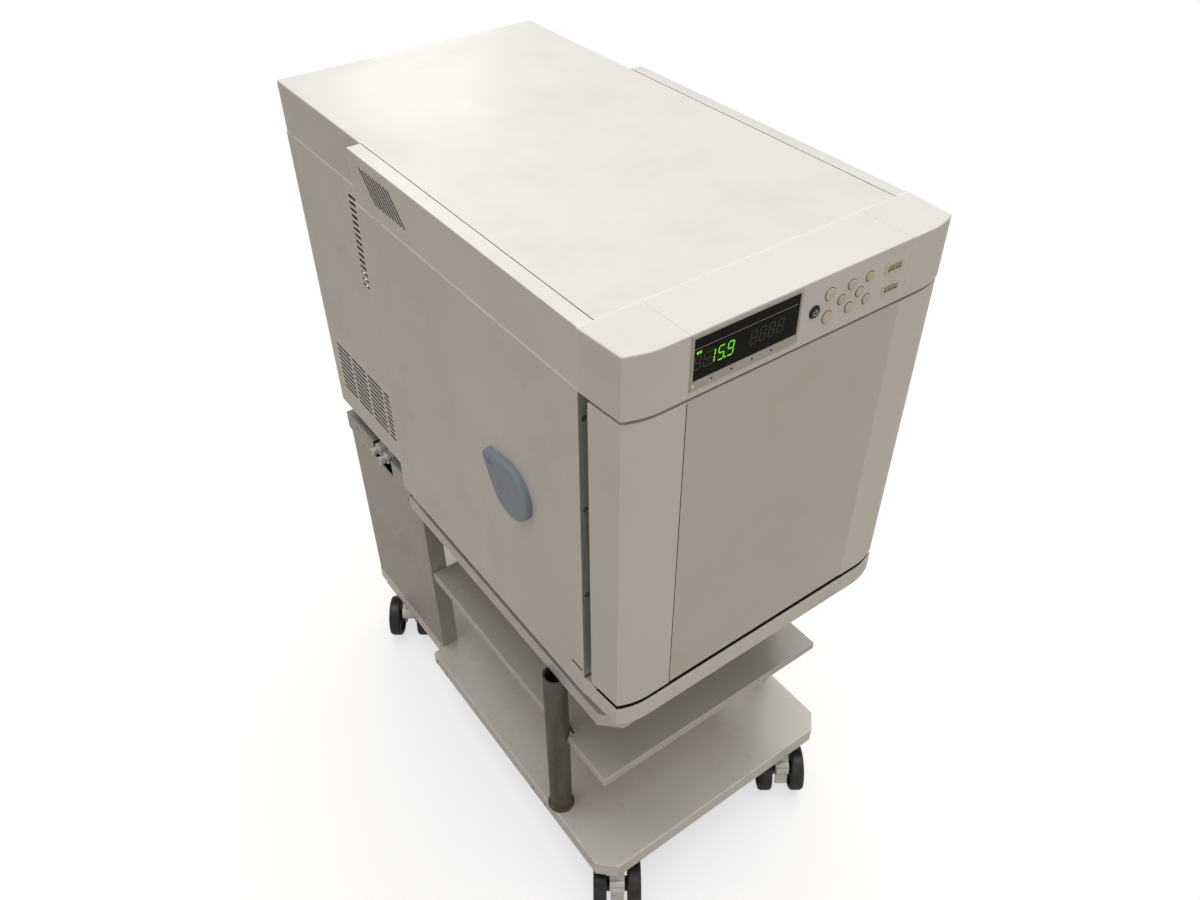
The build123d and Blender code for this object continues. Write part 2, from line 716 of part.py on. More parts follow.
def make_liner():
    """Stainless inner box, with the air duct behind the baffle."""
    half = SPACE_WIDTH / 2
    outside = block(
        (-half - LINER, half + LINER),
        (FRAME_RECESS, LINER_REAR + LINER),
        (SPACE_FLOOR - LINER, SPACE_TOP + LINER),
    )
    inside = block((-half, half), (FRAME_RECESS - 1, LINER_REAR), (SPACE_FLOOR, SPACE_TOP))
    port = Pos(-half, PORT_Y, PORT_Z) * Rot(0, 90, 0) * Cylinder(PORT_BORE, 20)
    shaft = Pos(0, LINER_REAR, FAN_Z) * Rot(90, 0, 0) * Cylinder(SHAFT_HOLE, 20)
    tube = Circle(PORT_BORE + PORT_WALL) - Circle(PORT_BORE)
    wall = Plane(origin=(-HALF + SEAM, PORT_Y, PORT_Z), x_dir=(0, 1, 0), z_dir=(1, 0, 0))
    port_tube = extrude(wall * tube, HALF - SEAM - half - LINER / 2)
    save("liner", (outside - inside - port - shaft) + port_tube)


def make_insulation():
    """Foam body between the liner and the shell."""
    half = SKIN - SHEET - SEAM
    side = SPACE_WIDTH / 2 + LINER
    rear = LINER_REAR + LINER
    outside = block((-half, half), (FRAME_BACK, rear + FOAM_REAR), (PAN_Z + SHEET, SPACE_TOP + FOAM_TOP))
    lips = [
        block((x, x + 2 * SHEET), (0, FRAME_BACK + 13), (PAN_Z, BAND_Z))
        for x in (-SKIN, SKIN - 2 * SHEET)
    ]
    inside = block((-side, side), (0, rear), (SPACE_FLOOR - LINER, SPACE_TOP + LINER))
    port = Pos(-HALF, PORT_Y, PORT_Z) * Rot(0, 90, 0) * Cylinder(
        PORT_BORE + PORT_WALL + SEAM, CABINET_WIDTH / 2
    )
    shaft = Pos(0, rear, FAN_Z) * Rot(90, 0, 0) * Cylinder(SHAFT_HOLE, 4 * FOAM_REAR)
    foam = outside - inside - port - shaft
    for lip in lips:
        foam -= lip
    save("insulation", foam)


FAN_Z = 820.0
FAN_RADIUS = 70.0
FAN_DEPTH = 30.0
FAN_SHAFT = 5.0
SHAFT_HOLE = 9.0
BAFFLE_SHEET = 1.0


def make_baffle():
    """Air baffle across the rear of the work space, with an intake grille and outlet slots."""
    half = SPACE_WIDTH / 2
    y = FRAME_RECESS + SPACE_DEPTH
    plate = block((-half, half), (y, y + BAFFLE_SHEET), (SPACE_FLOOR, SPACE_TOP))
    folds = [
        block((x, x + BAFFLE_SHEET), (y, y + 14), (SPACE_FLOOR, SPACE_TOP))
        for x in (-half, half - BAFFLE_SHEET)
    ]
    for fold in folds:
        plate += fold
    reach = FAN_RADIUS - 12
    for row in range(-5, 6):
        z = FAN_Z + row * 10
        width = 2 * (reach**2 - (row * 10) ** 2) ** 0.5
        plate -= block((-width / 2, width / 2), (y - 1, y + 5), (z - 2.5, z + 2.5))
    for column in range(-6, 7):
        x = column * 20
        plate -= block((x - 3, x + 3), (y - 1, y + 5), (SPACE_FLOOR + 18, SPACE_FLOOR + 58))
    save("air_baffle", plate)


def make_circulation_fan():
    """Backward-curved fan wheel in the air duct, on its long shaft through the foam."""
    front = FRAME_RECESS + SPACE_DEPTH + 16
    disc = Cylinder(FAN_RADIUS, 1.5, align=(Align.CENTER, Align.CENTER, Align.MIN))
    ring = Pos(0, 0, FAN_DEPTH - 1.5) * (
        Cylinder(FAN_RADIUS, 1.5, align=(Align.CENTER, Align.CENTER, Align.MIN))
        - Cylinder(FAN_RADIUS - 18, 4)
    )
    blade_arc = offset(ThreePointArc((FAN_RADIUS - 30, 0), (FAN_RADIUS - 14, 5), (FAN_RADIUS - 1, 16)), 0.8)
    blade = extrude(make_face(blade_arc), FAN_DEPTH - 1)
    wheel = disc + ring
    for turn in range(9):
        wheel += Rot(0, 0, turn * 40) * blade
    hub = Cylinder(12, 16, align=(Align.CENTER, Align.CENTER, Align.MIN))
    length = LINER_REAR + LINER + FOAM_REAR + 6 - front
    shaft = Cylinder(FAN_SHAFT, length - FAN_DEPTH, align=(Align.CENTER, Align.CENTER, Align.MIN))
    wheel += hub
    turned = Pos(0, front + FAN_DEPTH, FAN_Z) * Rot(90, 0, 0) * wheel
    back = Pos(0, front + FAN_DEPTH, FAN_Z) * Rot(-90, 0, 0) * shaft
    save("circulation_fan", turned + back)


def motor(radius, length, bore):
    """A small motor: a round can with end caps and a shaft bearing in front, axis along +z."""
    profile = make_face(
        Polyline(
            (bore, 0, 0),
            (radius * 0.45, 0, 0),
            (radius * 0.45, 0, 6),
            (radius, 0, 8),
            (radius, 0, length - 4),
            (radius - 5, 0, length),
            (0, 0, length),
            (0, 0, 14),
            (bore, 0, 14),
            close=True,
        )
    )
    return revolve(profile, Axis.Z)


def make_fan_motors():
    """Motor of the circulation fan on the foam's rear face, and the condenser fan's motor."""
    rear = LINER_REAR + LINER + FOAM_REAR
    can = motor(40, 75, FAN_SHAFT + RUNNING_GAP)
    feet = Pos(0, 0, 8) * Box(110, 30, 4)
    pads = [Pos(x, 0, 3) * Cylinder(6, 6) for x in (-48, 48)]
    body = can + feet
    for pad in pads:
        body += pad
    upper = Pos(0, rear, FAN_Z) * Rot(-90, 0, 0) * body
    small = motor(24, 46, 3 + RUNNING_GAP)
    x = -CONDENSER_X + CONDENSER_DEPTH + COOLING_FAN_DEPTH + 9
    lower = Pos(x, CONDENSER_Y, CONDENSER_Z) * Rot(0, 90, 0) * small
    leg = block((x + 14, x + 34), (CONDENSER_Y - 10, CONDENSER_Y + 10), (PAN_Z + SHEET, CONDENSER_Z - 20))
    foot = block((x + 4, x + 44), (CONDENSER_Y - 24, CONDENSER_Y + 24), (PAN_Z + SHEET, PAN_Z + SHEET + 3))
    save("fan_motors", upper, lower + leg + foot)


CONDENSER_X = 190.0
CONDENSER_Y = 600.0
CONDENSER_Z = 610.0
CONDENSER_DEPTH = 36.0
CONDENSER_WIDTH = 150.0
CONDENSER_HEIGHT = 140.0
COOLING_FAN_RADIUS = 60.0
COOLING_FAN_DEPTH = 22.0


def finned_coil(length, height, depth, fins, tubes):
    """Finned tube block: flat fins along y with tubes running through them."""
    coil = None
    for index in range(fins):
        y = (index / (fins - 1) - 0.5) * (length - 1)
        fin = Pos(0, y, 0) * Box(depth, 1, height)
        coil = fin if coil is None else coil + fin
    for index in range(tubes):
        z = ((index + 0.5) / tubes - 0.5) * height
        for x in (-depth / 4, depth / 4):
            coil += rod(4, (x, -length / 2 - 5, z), (x, length / 2 + 5, z))
    return coil


def make_coils():
    """Evaporator and heater in the air duct, and the condenser behind the left louvres."""
    middle = FRAME_RECESS + SPACE_DEPTH + DUCT_DEPTH / 2
    low = SPACE_FLOOR
    evaporator = Pos(0, middle + 8, low + 45) * Rot(0, 0, 90) * finned_coil(240, 84, 40, 9, 2)
    stands = [
        block((x - 1, x + 1), (middle - 8, middle + 24), (low, low + 10)) for x in (-90, 90)
    ]
    for stand in stands:
        evaporator += stand
    heater = None
    for step in range(3):
        z = low + 106 + step * 16
        run = rod(4, (-110, middle + 12, z), (110, middle + 12, z))
        heater = run if heater is None else heater + run
    for x, z in ((-110, low + 114), (110, low + 130)):
        heater += rod(4, (x, middle + 12, z - 8), (x, middle + 12, z + 8))
    heater += block((-112, -108), (middle + 12, LINER_REAR), (low + 100, low + 118))
    heater += block((108, 112), (middle + 12, LINER_REAR), (low + 124, low + 142))
    condenser = finned_coil(CONDENSER_WIDTH, CONDENSER_HEIGHT, CONDENSER_DEPTH, 12, 4)
    sill = CONDENSER_Z - CONDENSER_HEIGHT / 2
    condenser = Pos(-CONDENSER_X + CONDENSER_DEPTH / 2, CONDENSER_Y, CONDENSER_Z) * condenser
    condenser += block(
        (-CONDENSER_X, -CONDENSER_X + CONDENSER_DEPTH),
        (CONDENSER_Y - CONDENSER_WIDTH / 2, CONDENSER_Y + CONDENSER_WIDTH / 2),
        (PAN_Z + SHEET, sill + 2),
    )
    save("coils", evaporator, heater, condenser)


def make_condenser_fan():
    """Five-bladed axial fan that draws air through the condenser."""
    hub = Cylinder(16, COOLING_FAN_DEPTH)
    blade_face = make_face(
        Polyline((10, -8), (COOLING_FAN_RADIUS, -20), (COOLING_FAN_RADIUS, 16), (10, 8), close=True)
    )
    blade = Rot(28, 0, 0) * extrude(blade_face, 1.0, both=True)
    rim = Cylinder(COOLING_FAN_RADIUS, COOLING_FAN_DEPTH + 10)
    fan = hub
    for turn in range(5):
        fan += Rot(0, 0, turn * 72) * blade
    fan = fan & rim
    shaft = Pos(0, 0, COOLING_FAN_DEPTH / 2) * Cylinder(
        3, 16, align=(Align.CENTER, Align.CENTER, Align.MIN)
    )
    x = -CONDENSER_X + CONDENSER_DEPTH + COOLING_FAN_DEPTH / 2 + 6
    save("condenser_fan", Pos(x, CONDENSER_Y, CONDENSER_Z) * Rot(0, 90, 0) * (fan + shaft))


def make_compressor():
    """Hermetic compressor: a domed can on three rubber feet."""
    floor = PAN_Z + SHEET
    can = make_face(
        Polyline(
            (0, 0, floor + 14),
            (50, 0, floor + 14),
            (62, 0, floor + 30),
            (62, 0, floor + 96),
            (68, 0, floor + 98),
            (68, 0, floor + 102),
            (62, 0, floor + 104),
            (62, 0, floor + 140),
            (48, 0, floor + 162),
            (0, 0, floor + 170),
            close=True,
        )
    )
    shell = revolve(can, Axis.Z)
    plate = upright(fillet(RegularPolygon(92, 3).vertices(), 12), floor + 10, floor + 16)
    body = shell + plate
    for turn in (0, 120, 240):
        foot = Rot(0, 0, turn) * Pos(72, 0, floor + 5) * Cylinder(11, 10)
        body += foot
    save("compressor", Pos(70, 590, 0) * body)


RAIL_RUNG_FIRST = 50.0
RAIL_RUNG_PITCH = 50.0
RAIL_RUNGS = 5
RACK_LEVEL = 2
RACK_ROD = 3.0
RACK_WIRE = 1.5
RACK_FRONT = 24.0
RACK_REAR = 244.0


def make_shelf_rails():
    """Two ladder rails on the liner's side walls, with lipped rungs for the wire shelf."""
    wall = SPACE_WIDTH / 2
    rail = None
    for y in (50, 210):
        post = block((-wall, -wall + 6), (y - 4, y + 4), (SPACE_FLOOR, SPACE_TOP - 20))
        rail = post if rail is None else rail + post
    for index in range(RAIL_RUNGS):
        z = SPACE_FLOOR + RAIL_RUNG_FIRST + index * RAIL_RUNG_PITCH
        rail += block((-wall + 3, -wall + 13), (RACK_FRONT, RACK_REAR - 4), (z - 1.5, z))
        rail += block((-wall + 3, -wall + 4.5), (RACK_FRONT, RACK_REAR - 4), (z - 1.5, z + 5))
    save("shelf_rails", *both(rail))


def make_wire_shelf():
    """Welded wire shelf resting on one pair of rungs."""
    z = SPACE_FLOOR + RAIL_RUNG_FIRST + RACK_LEVEL * RAIL_RUNG_PITCH + RACK_ROD
    half = SPACE_WIDTH / 2 - 10
    corners = [(-half, RACK_FRONT + 6), (half, RACK_FRONT + 6), (half, RACK_REAR - 6), (-half, RACK_REAR - 6)]
    path = FilletPolyline(*[(x, y, z) for x, y in corners], radius=10, close=True)
    start = path @ 0
    section = Plane(origin=start, z_dir=path % 0) * Circle(RACK_ROD)
    shelf = sweep(section, path)
    for index in range(11):
        x = (index - 5) * 24.0
        shelf += rod(RACK_WIRE, (x, RACK_FRONT + 6, z), (x, RACK_REAR - 6, z))
    for y in (RACK_FRONT + 70, RACK_REAR - 70):
        shelf += rod(RACK_WIRE, (-half, y, z - 1.4), (half, y, z - 1.4))
    save("wire_shelf", shelf)


# Cable port


def make_port():
    """Rubber plug of the cable port: a disc with a teardrop finger tab, and a tapered stopper."""
    tip = (TAB_REACH * cos(radians(TAB_ANGLE)), TAB_REACH * sin(radians(TAB_ANGLE)))
    drop = make_hull(
        Circle(CAP_RADIUS).edges() + (Pos(*tip) * Circle(TAB_RADIUS)).edges()
    )
    outward = Plane(origin=(-HALF - SEAM, PORT_Y, PORT_Z), x_dir=(0, 1, 0), z_dir=(-1, 0, 0))
    drop = mirror(drop, about=Plane.XZ)
    cap = extrude(outward * drop, CAP_THICK)
    cap = fillet(cap.faces().sort_by(Axis.X)[0].edges(), CAP_RIM)
    dish = outward * Pos(0, 0, CAP_THICK + 1) * Sphere(120)
    dish_cut = outward * Pos(0, 0, CAP_THICK + 118.5) * Sphere(120)
    cap -= dish_cut
    hollow_spot = (tip[0] * 0.86, -tip[1] * 0.86)
    cap -= outward * Pos(*hollow_spot, CAP_THICK + 9) * Sphere(12)
    stem = extrude(
        Plane(origin=(-HALF - SEAM, PORT_Y, PORT_Z), z_dir=(1, 0, 0)) * Circle(PORT_BORE - STOPPER_GAP),
        STOPPER_LENGTH,
        taper=0.5,
    )
    save("port_plug", cap + stem)


def make_fittings():
    """Dark bracket under the rear left of the pan, carrying two hex pipe fittings."""
    x = -TOP_HALF + 8
    front = NOTCH_FRONT + 1
    rear = NOTCH_FRONT + NOTCH_LENGTH - 1
    bracket = block((x, x + 2), (front, rear), (DECK_TOP + 4, PAN_Z))
    bracket += block((-TOP_HALF, x + 2), (front, rear), (PAN_Z - 2, PAN_Z))
    middle_z = DECK_TOP + 26
    spots = [front + 17, front + 44]
    for y in spots:
        bracket -= Pos(x, y, middle_z) * Rot(0, 90, 0) * Cylinder(8, 20)
    save("fitting_bracket", bracket)
    profile = make_face(
        Polyline(
            (FITTING_BORE, 0, -12),
            (7.7, 0, -12),
            (7.7, 0, 0),
            (12, 0, 0),
            (12, 0, 2),
            (SPIGOT_RADIUS, 0, 2),
            (SPIGOT_RADIUS, 0, SPIGOT_END - 0.5),
            (SPIGOT_RADIUS - 0.5, 0, SPIGOT_END),
            (FITTING_BORE, 0, SPIGOT_END),
            close=True,
        )
    )
    body = revolve(profile, Axis.Z)
    hexagon = RegularPolygon(11, 6) - Circle(FITTING_BORE + 0.5)
    body += Pos(0, 0, 2) * extrude(hexagon, 8)
    fittings = [Pos(x, y, middle_z) * Rot(0, -90, 0) * body for y in spots]
    save("pipe_fittings", *fittings)


# Control head


def head_piece(low_x, high_x):
    """The head's hollow moulding between two planes across the cabinet."""
    shell = bow_shell(HEAD_Z, TOP_Z, 0, 0, HEAD_WALL)
    return shell & block((low_x, high_x), (-100, 10), (HEAD_Z - 5, TOP_Z + 5))


def make_head():
    """Plain head ends and the chin below the door, and the head's centre with its openings."""
    seam = SEAM / 2
    low = SHELL_Z + 2
    chin = bow_shell(low, low + CHIN_HEIGHT, 0, 0, HEAD_WALL)
    save("front_covers", *both(head_piece(FLAT_HALF + seam, HALF + 1)), chin)
    centre = head_piece(-FLAT_HALF + seam, FLAT_HALF - seam)
    window = block(
        (BEZEL_LEFT, BEZEL_LEFT + BEZEL_WIDTH),
        (FACE_Y - 5, INNER_Y + 1),
        (TOP_Z - BEZEL_DROP - BEZEL_HEIGHT, TOP_Z - BEZEL_DROP),
    )
    centre -= window
    for x, drop, radius in KEYS.values():
        centre -= Pos(x, FACE_Y, TOP_Z - drop) * Rot(90, 0, 0) * Cylinder(radius + KEY_GAP, 4 * HEAD_WALL)
    for drop in THUMB_DROPS:
        centre -= block(
            (THUMB_X - THUMB_WIDTH / 2 + THUMB_WALL, THUMB_X + THUMB_WIDTH / 2 - THUMB_WALL),
            (FACE_Y - 5, INNER_Y + 1),
            (
                TOP_Z - drop - THUMB_HEIGHT / 2 + THUMB_LIP,
                TOP_Z - drop + THUMB_HEIGHT / 2 - THUMB_LIP,
            ),
        )
    save("head_centre", centre)


def make_display():
    """Silver bezel with a sunk black window."""
    low = TOP_Z - BEZEL_DROP - BEZEL_HEIGHT + SEAM
    high = TOP_Z - BEZEL_DROP - SEAM
    left = BEZEL_LEFT + SEAM
    right = BEZEL_LEFT + BEZEL_WIDTH - SEAM
    bezel = block((left, right), (FACE_Y - 0.6, FACE_Y + BEZEL_DEPTH), (low, high))
    bezel = fillet(bezel.faces().sort_by(Axis.Y)[0].edges(), 0.5)
    glass_x = (left + GLASS_BORDER, right - GLASS_BORDER)
    glass_z = (low + GLASS_STRIP, high - GLASS_BORDER)
    seat = FACE_Y - 0.6 + GLASS_THICK + 1
    bezel -= block(glass_x, (FACE_Y - 5, seat), glass_z)
    back = block(
        (left - 5, right + 3), (INNER_Y + SEAM / 3, INNER_Y + 3), (low - 3, high - HEAD_WALL + 2)
    )
    bezel_room = block((left, right), (FACE_Y, FACE_Y + BEZEL_DEPTH), (low, high))
    flange = back & block(
        (-FLAT_HALF + 3, right + 3), (INNER_Y, INNER_Y + 4), (HEAD_Z + HEAD_WALL + 1, TOP_Z - HEAD_WALL - SEAM)
    )
    save("display_bezel", bezel + (flange - bezel_room))
    glass = block(
        (glass_x[0] + 0.1, glass_x[1] - 0.1), (seat - GLASS_THICK, seat), (glass_z[0] + 0.1, glass_z[1] - 0.1)
    )
    save("display_window", glass)


def make_keys():
    """Nine round keys: a domed cap with a flange behind the wall that keeps it in."""
    reach = HEAD_WALL + KEY_RISE + 0.1
    for name, (x, drop, radius) in KEYS.items():
        profile = make_face(
            Polyline(
                (0, 0, 0),
                (radius + KEY_LIP, 0, 0),
                (radius + KEY_LIP, 0, KEY_FLANGE),
                (radius, 0, KEY_FLANGE),
                (radius, 0, KEY_FLANGE + reach - 0.8),
                (radius - 0.8, 0, KEY_FLANGE + reach),
                (0, 0, KEY_FLANGE + reach + 0.3),
                close=True,
            )
        )
        cap = revolve(profile, Axis.Z)
        foot = INNER_Y + 0.1 + KEY_FLANGE
        save(f"key_{name}", Pos(x, foot, TOP_Z - drop) * Rot(90, 0, 0) * cap)


def make_thumbwheels():
    """Two number sets: a cream frame with a box behind it, and four wheels on one shaft."""
    frames = []
    for drop, name in zip(THUMB_DROPS, ("upper", "lower")):
        z = TOP_Z - drop
        centre_y = FACE_Y + DIAL_RADIUS - 0.5
        frame = block(
            (THUMB_X - THUMB_WIDTH / 2, THUMB_X + THUMB_WIDTH / 2),
            (FACE_Y - THUMB_PROUD, FACE_Y),
            (z - THUMB_HEIGHT / 2, z + THUMB_HEIGHT / 2),
        )
        frame = fillet(frame.edges().filter_by(Axis.Y), 1)
        side = THUMB_WIDTH / 2 - THUMB_WALL - SEAM
        case = block(
            (THUMB_X - side, THUMB_X + side),
            (FACE_Y, FACE_Y + THUMB_DEPTH),
            (
                z - THUMB_HEIGHT / 2 + THUMB_LIP + SEAM,
                z + THUMB_HEIGHT / 2 - THUMB_LIP - SEAM,
            ),
        )
        hollow_top = block(
            (THUMB_X - side - 1, THUMB_X + side + 1),
            (INNER_Y + SEAM, FACE_Y + THUMB_DEPTH),
            (z - 9, z + 9),
        )
        back_case = block(
            (THUMB_X - side, THUMB_X + side), (INNER_Y + SEAM, FACE_Y + THUMB_DEPTH), (z - 9, z + 9)
        )
        room_half = side - THUMB_WALL
        room = block(
            (THUMB_X - room_half, THUMB_X + room_half),
            (FACE_Y - 5, FACE_Y + THUMB_DEPTH - THUMB_WALL),
            (z - 7.6, z + 7.6),
        )
        window = block(
            (THUMB_X - room_half, THUMB_X + room_half), (FACE_Y - 5, INNER_Y + 1), (z - 3.6, z + 3.6)
        )
        inner_room = room & block(
            (THUMB_X - 20, THUMB_X + 20), (INNER_Y - 1, FACE_Y + THUMB_DEPTH), (z - 9, z + 9)
        )
        body = (frame + (case - hollow_top) + back_case) - inner_room - window
        dial_room = Pos(THUMB_X, centre_y, z) * Rot(0, 90, 0) * Cylinder(DIAL_RADIUS + 0.4, 2 * room_half)
        shaft_hole = Pos(THUMB_X, centre_y, z) * Rot(0, 90, 0) * Cylinder(
            DIAL_SHAFT + RUNNING_GAP, THUMB_WIDTH + 4
        )
        frames.append(body - dial_room - shaft_hole)
        wheels = []
        for index in range(WHEEL_COUNT):
            x = THUMB_X + (index - (WHEEL_COUNT - 1) / 2) * DIAL_PITCH
            dial = RegularPolygon(DIAL_RADIUS, 20) - Circle(DIAL_SHAFT + RUNNING_GAP / 2)
            place = Plane(origin=(x - DIAL_WIDTH / 2, centre_y, z), z_dir=(1, 0, 0))
            wheels.append(extrude(place * dial, DIAL_WIDTH))
        shaft = Pos(THUMB_X, centre_y, z) * Rot(0, 90, 0) * Cylinder(DIAL_SHAFT, 2 * side)
        save(f"number_wheels_{name}", *wheels, shaft)
    save("number_frames", *frames)


# Door and chin


def make_door():
    """Bowed door: pillars with a flat centre panel, foam core, gasket and hinge lugs."""
    shell = bow_shell(DOOR_BOTTOM, DOOR_TOP, DOOR_INSET, -DOOR_EDGE, DOOR_WALL)
    window = block(
        (-FLAT_HALF, FLAT_HALF),
        (FACE_Y - 5, FACE_Y + DOOR_INSET + DOOR_WALL),
        (DOOR_BOTTOM - 1, DOOR_TOP + 1),
    )
    save("door_shell", shell - window)
    front = FACE_Y + DOOR_INSET
    panel = block(
        (-FLAT_HALF + SEAM, FLAT_HALF - SEAM), (front, front + DOOR_WALL), (DOOR_BOTTOM, DOOR_TOP)
    )
    edges = panel.faces().sort_by(Axis.Y)[0].edges().filter_by(Axis.X)
    save("door_panel", chamfer(edges, 1.2))
    core_face = front + 2 * DOOR_WALL
    low = DOOR_BOTTOM + DOOR_WALL + 1
    high = DOOR_TOP - DOOR_WALL - 1
    outline = bow_plan(CORE_REAR, DOOR_INSET + DOOR_WALL + SEAM)
    core = upright(outline, low, high)
    core &= block((-CORE_HALF, CORE_HALF), (core_face, CORE_REAR), (low, high))
    stop_half = SPACE_WIDTH / 2 - PLUG_CLEAR
    stop = block(
        (-stop_half, stop_half),
        (CORE_REAR - 1, PLUG_DEPTH),
        (SPACE_FLOOR + PLUG_CLEAR, SPACE_TOP - PLUG_CLEAR),
    )
    stop = fillet(stop.edges().filter_by(Axis.Y), 8)
    core += stop
    for z, side in ((low + HINGE_FROM_END, 1), (high - HINGE_FROM_END, -1)):
        lug = Pos((CORE_HALF - 20 + HINGE_X) / 2, (CORE_REAR + HINGE_Y + HINGE_RADIUS) / 2) * Rectangle(
            HINGE_X - CORE_HALF + 20, HINGE_Y + HINGE_RADIUS - CORE_REAR
        )
        lug += Pos(HINGE_X, HINGE_Y) * Circle(HINGE_RADIUS)
        lug -= Pos(HINGE_X, HINGE_Y) * Circle(HINGE_PIN + RUNNING_GAP)
        core += upright(lug, min(z, z + 8 * side), max(z, z + 8 * side))
    save("door_core", core)
    inner = GASKET_FROM
    outer = inner + GASKET_WIDTH
    ring = make_ring(outer) - make_ring(inner)
    plane = Plane(origin=(0, CORE_REAR, (SPACE_FLOOR + SPACE_TOP) / 2), x_dir=(1, 0, 0), z_dir=(0, 1, 0))
    gasket = extrude(plane * ring, FRAME_RECESS - GASKET_CLEAR - CORE_REAR)
    gasket = fillet(gasket.faces().sort_by(Axis.Y)[-1].edges(), 3)
    save("door_gasket", gasket)


GASKET_FROM = 12.0


def make_ring(growth):
    """Rounded square round the work space's mouth, grown by a margin."""
    size = SPACE_WIDTH + 2 * growth
    return fillet(Rectangle(size, SPACE_HEIGHT + 2 * growth).vertices(), 10 + growth)


def make_hinges():
    """Two hinge brackets on the frame's right side, each with a pin that enters a door lug."""
    brackets = []
    low = DOOR_BOTTOM + DOOR_WALL + 1
    high = DOOR_TOP - DOOR_WALL - 1
    for z, side in ((low + HINGE_FROM_END, 1), (high - HINGE_FROM_END, -1)):
        arm = Pos(HINGE_X - 4, (HINGE_Y + FRAME_RECESS) / 2) * Rectangle(
            8, FRAME_RECESS - HINGE_Y
        )
        arm += Pos(HINGE_X, HINGE_Y) * Circle(HINGE_RADIUS)
        start = z - SEAM * side
        end = start - 6 * side
        bracket = upright(arm, min(start, end), max(start, end))
        leaf_end = start - 24 * side
        bracket += block(
            (HINGE_X - 14, HINGE_X), (FRAME_RECESS - 3, FRAME_RECESS), (min(start, leaf_end), max(start, leaf_end))
        )
        tip = z + 7 * side
        pin = upright(Pos(HINGE_X, HINGE_Y) * Circle(HINGE_PIN), min(start, tip), max(start, tip))
        brackets.append(bracket + pin)
    save("hinge_brackets", *brackets)


os.makedirs("parts", exist_ok=True)
make_base()
make_caster_mounts()
make_columns()
make_poles()
make_deck()
make_mid_shelf()
make_plinth()
make_feet()
make_caster_forks()
make_caster_wheels()
make_stop_levers()
make_bottom_pan()
make_side_panels()
make_top_rails()
make_top_panel()
make_rear_sides()
make_rear_panel()
make_front_frame()
make_liner()
make_insulation()
make_baffle()
make_circulation_fan()
make_fan_motors()
make_coils()
make_condenser_fan()
make_compressor()
make_shelf_rails()
make_wire_shelf()
make_port()
make_fittings()
make_head()
make_display()
make_keys()
make_thumbwheels()
make_door()
make_hinges()
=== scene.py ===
import json

import bpy
import numpy as np
from mathutils import Matrix, Vector


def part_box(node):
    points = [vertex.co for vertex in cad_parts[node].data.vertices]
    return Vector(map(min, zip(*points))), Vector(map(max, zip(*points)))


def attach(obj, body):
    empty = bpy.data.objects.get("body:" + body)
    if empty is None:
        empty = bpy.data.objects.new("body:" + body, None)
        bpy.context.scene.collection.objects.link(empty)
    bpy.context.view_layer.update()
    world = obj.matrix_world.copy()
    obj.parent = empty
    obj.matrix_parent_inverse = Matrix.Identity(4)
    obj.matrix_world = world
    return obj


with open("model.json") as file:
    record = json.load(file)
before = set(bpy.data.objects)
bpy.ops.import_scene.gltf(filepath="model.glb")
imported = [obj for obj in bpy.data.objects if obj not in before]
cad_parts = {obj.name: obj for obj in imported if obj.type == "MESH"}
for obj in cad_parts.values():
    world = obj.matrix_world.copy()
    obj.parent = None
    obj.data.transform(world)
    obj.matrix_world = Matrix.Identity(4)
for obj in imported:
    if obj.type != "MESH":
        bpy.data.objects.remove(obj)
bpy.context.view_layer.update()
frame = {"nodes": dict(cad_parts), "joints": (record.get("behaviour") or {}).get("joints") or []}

nodes = frame["nodes"]
ROOT = "cabinet_and_stand"

# Camera: a phone held above the front left corner, about a metre away, looking down at 41
# degrees. The lens and place are those that the photograph's straight edges give.

CAMERA_PLACE = (-0.6468, -0.9434, 1.5569)
CAMERA_RIGHT = (0.80687, -0.59072, -0.00424)
CAMERA_UP = (0.38695, 0.52309, 0.75937)
CAMERA_LENS = 30.53

camera_data = bpy.data.cameras.new("camera")
camera_data.lens = CAMERA_LENS
camera_data.sensor_width = 36.0
camera_data.sensor_fit = "HORIZONTAL"
camera_data.clip_start = 0.01
camera = bpy.data.objects.new("camera", camera_data)
bpy.context.scene.collection.objects.link(camera)
right, up = Vector(CAMERA_RIGHT), Vector(CAMERA_UP)
turn = Matrix((right, up, right.cross(up))).transposed()
camera.matrix_world = Matrix.Translation(CAMERA_PLACE) @ turn.to_4x4()
bpy.context.scene.camera = camera

# Studio: a pale floor under a broad soft ceiling lamp, with weaker lamps at the left and the front
# and a small one at the rear whose glare lies on the top panel. What looks past the object sees
# plain white, and the floor keeps a soft shadow.

SKY_LIGHT = 0.36
SKY_TINT = (1.0, 0.91, 0.79, 1.0)
WHITE = (1.0, 1.0, 1.0, 1.0)
# Each lamp has its place, the point that it faces, its width and height, and its power in watts.
LAMPS = {
    "ceiling_lamp": ((0.4, 0.3, 3.2), (0.0, 0.0, 0.4), (3.6, 3.6), 86.0),
    "glare_lamp": ((0.72, 1.91, 1.81), (-0.1, 0.2, 1.053), (0.5, 0.5), 3.2),
    "left_lamp": ((-3.2, -0.4, 1.5), (0.0, 0.0, 0.7), (0.5, 2.6), 9.0),
    "front_lamp": ((0.3, -3.6, 1.1), (0.0, 0.0, 0.6), (2.4, 1.8), 17.0),
}
FLOOR_REACH = 9.0
FLOOR_GLOSS = 0.12
FLOOR_DARK = (0.50, 0.455, 0.40, 1.0)
FLOOR_PALE = (0.52, 0.475, 0.42, 1.0)
FLOOR_LIFT = (0.62, 0.64, 0.67, 1.0)
FADE_START, FADE_END = 0.5, 1.0


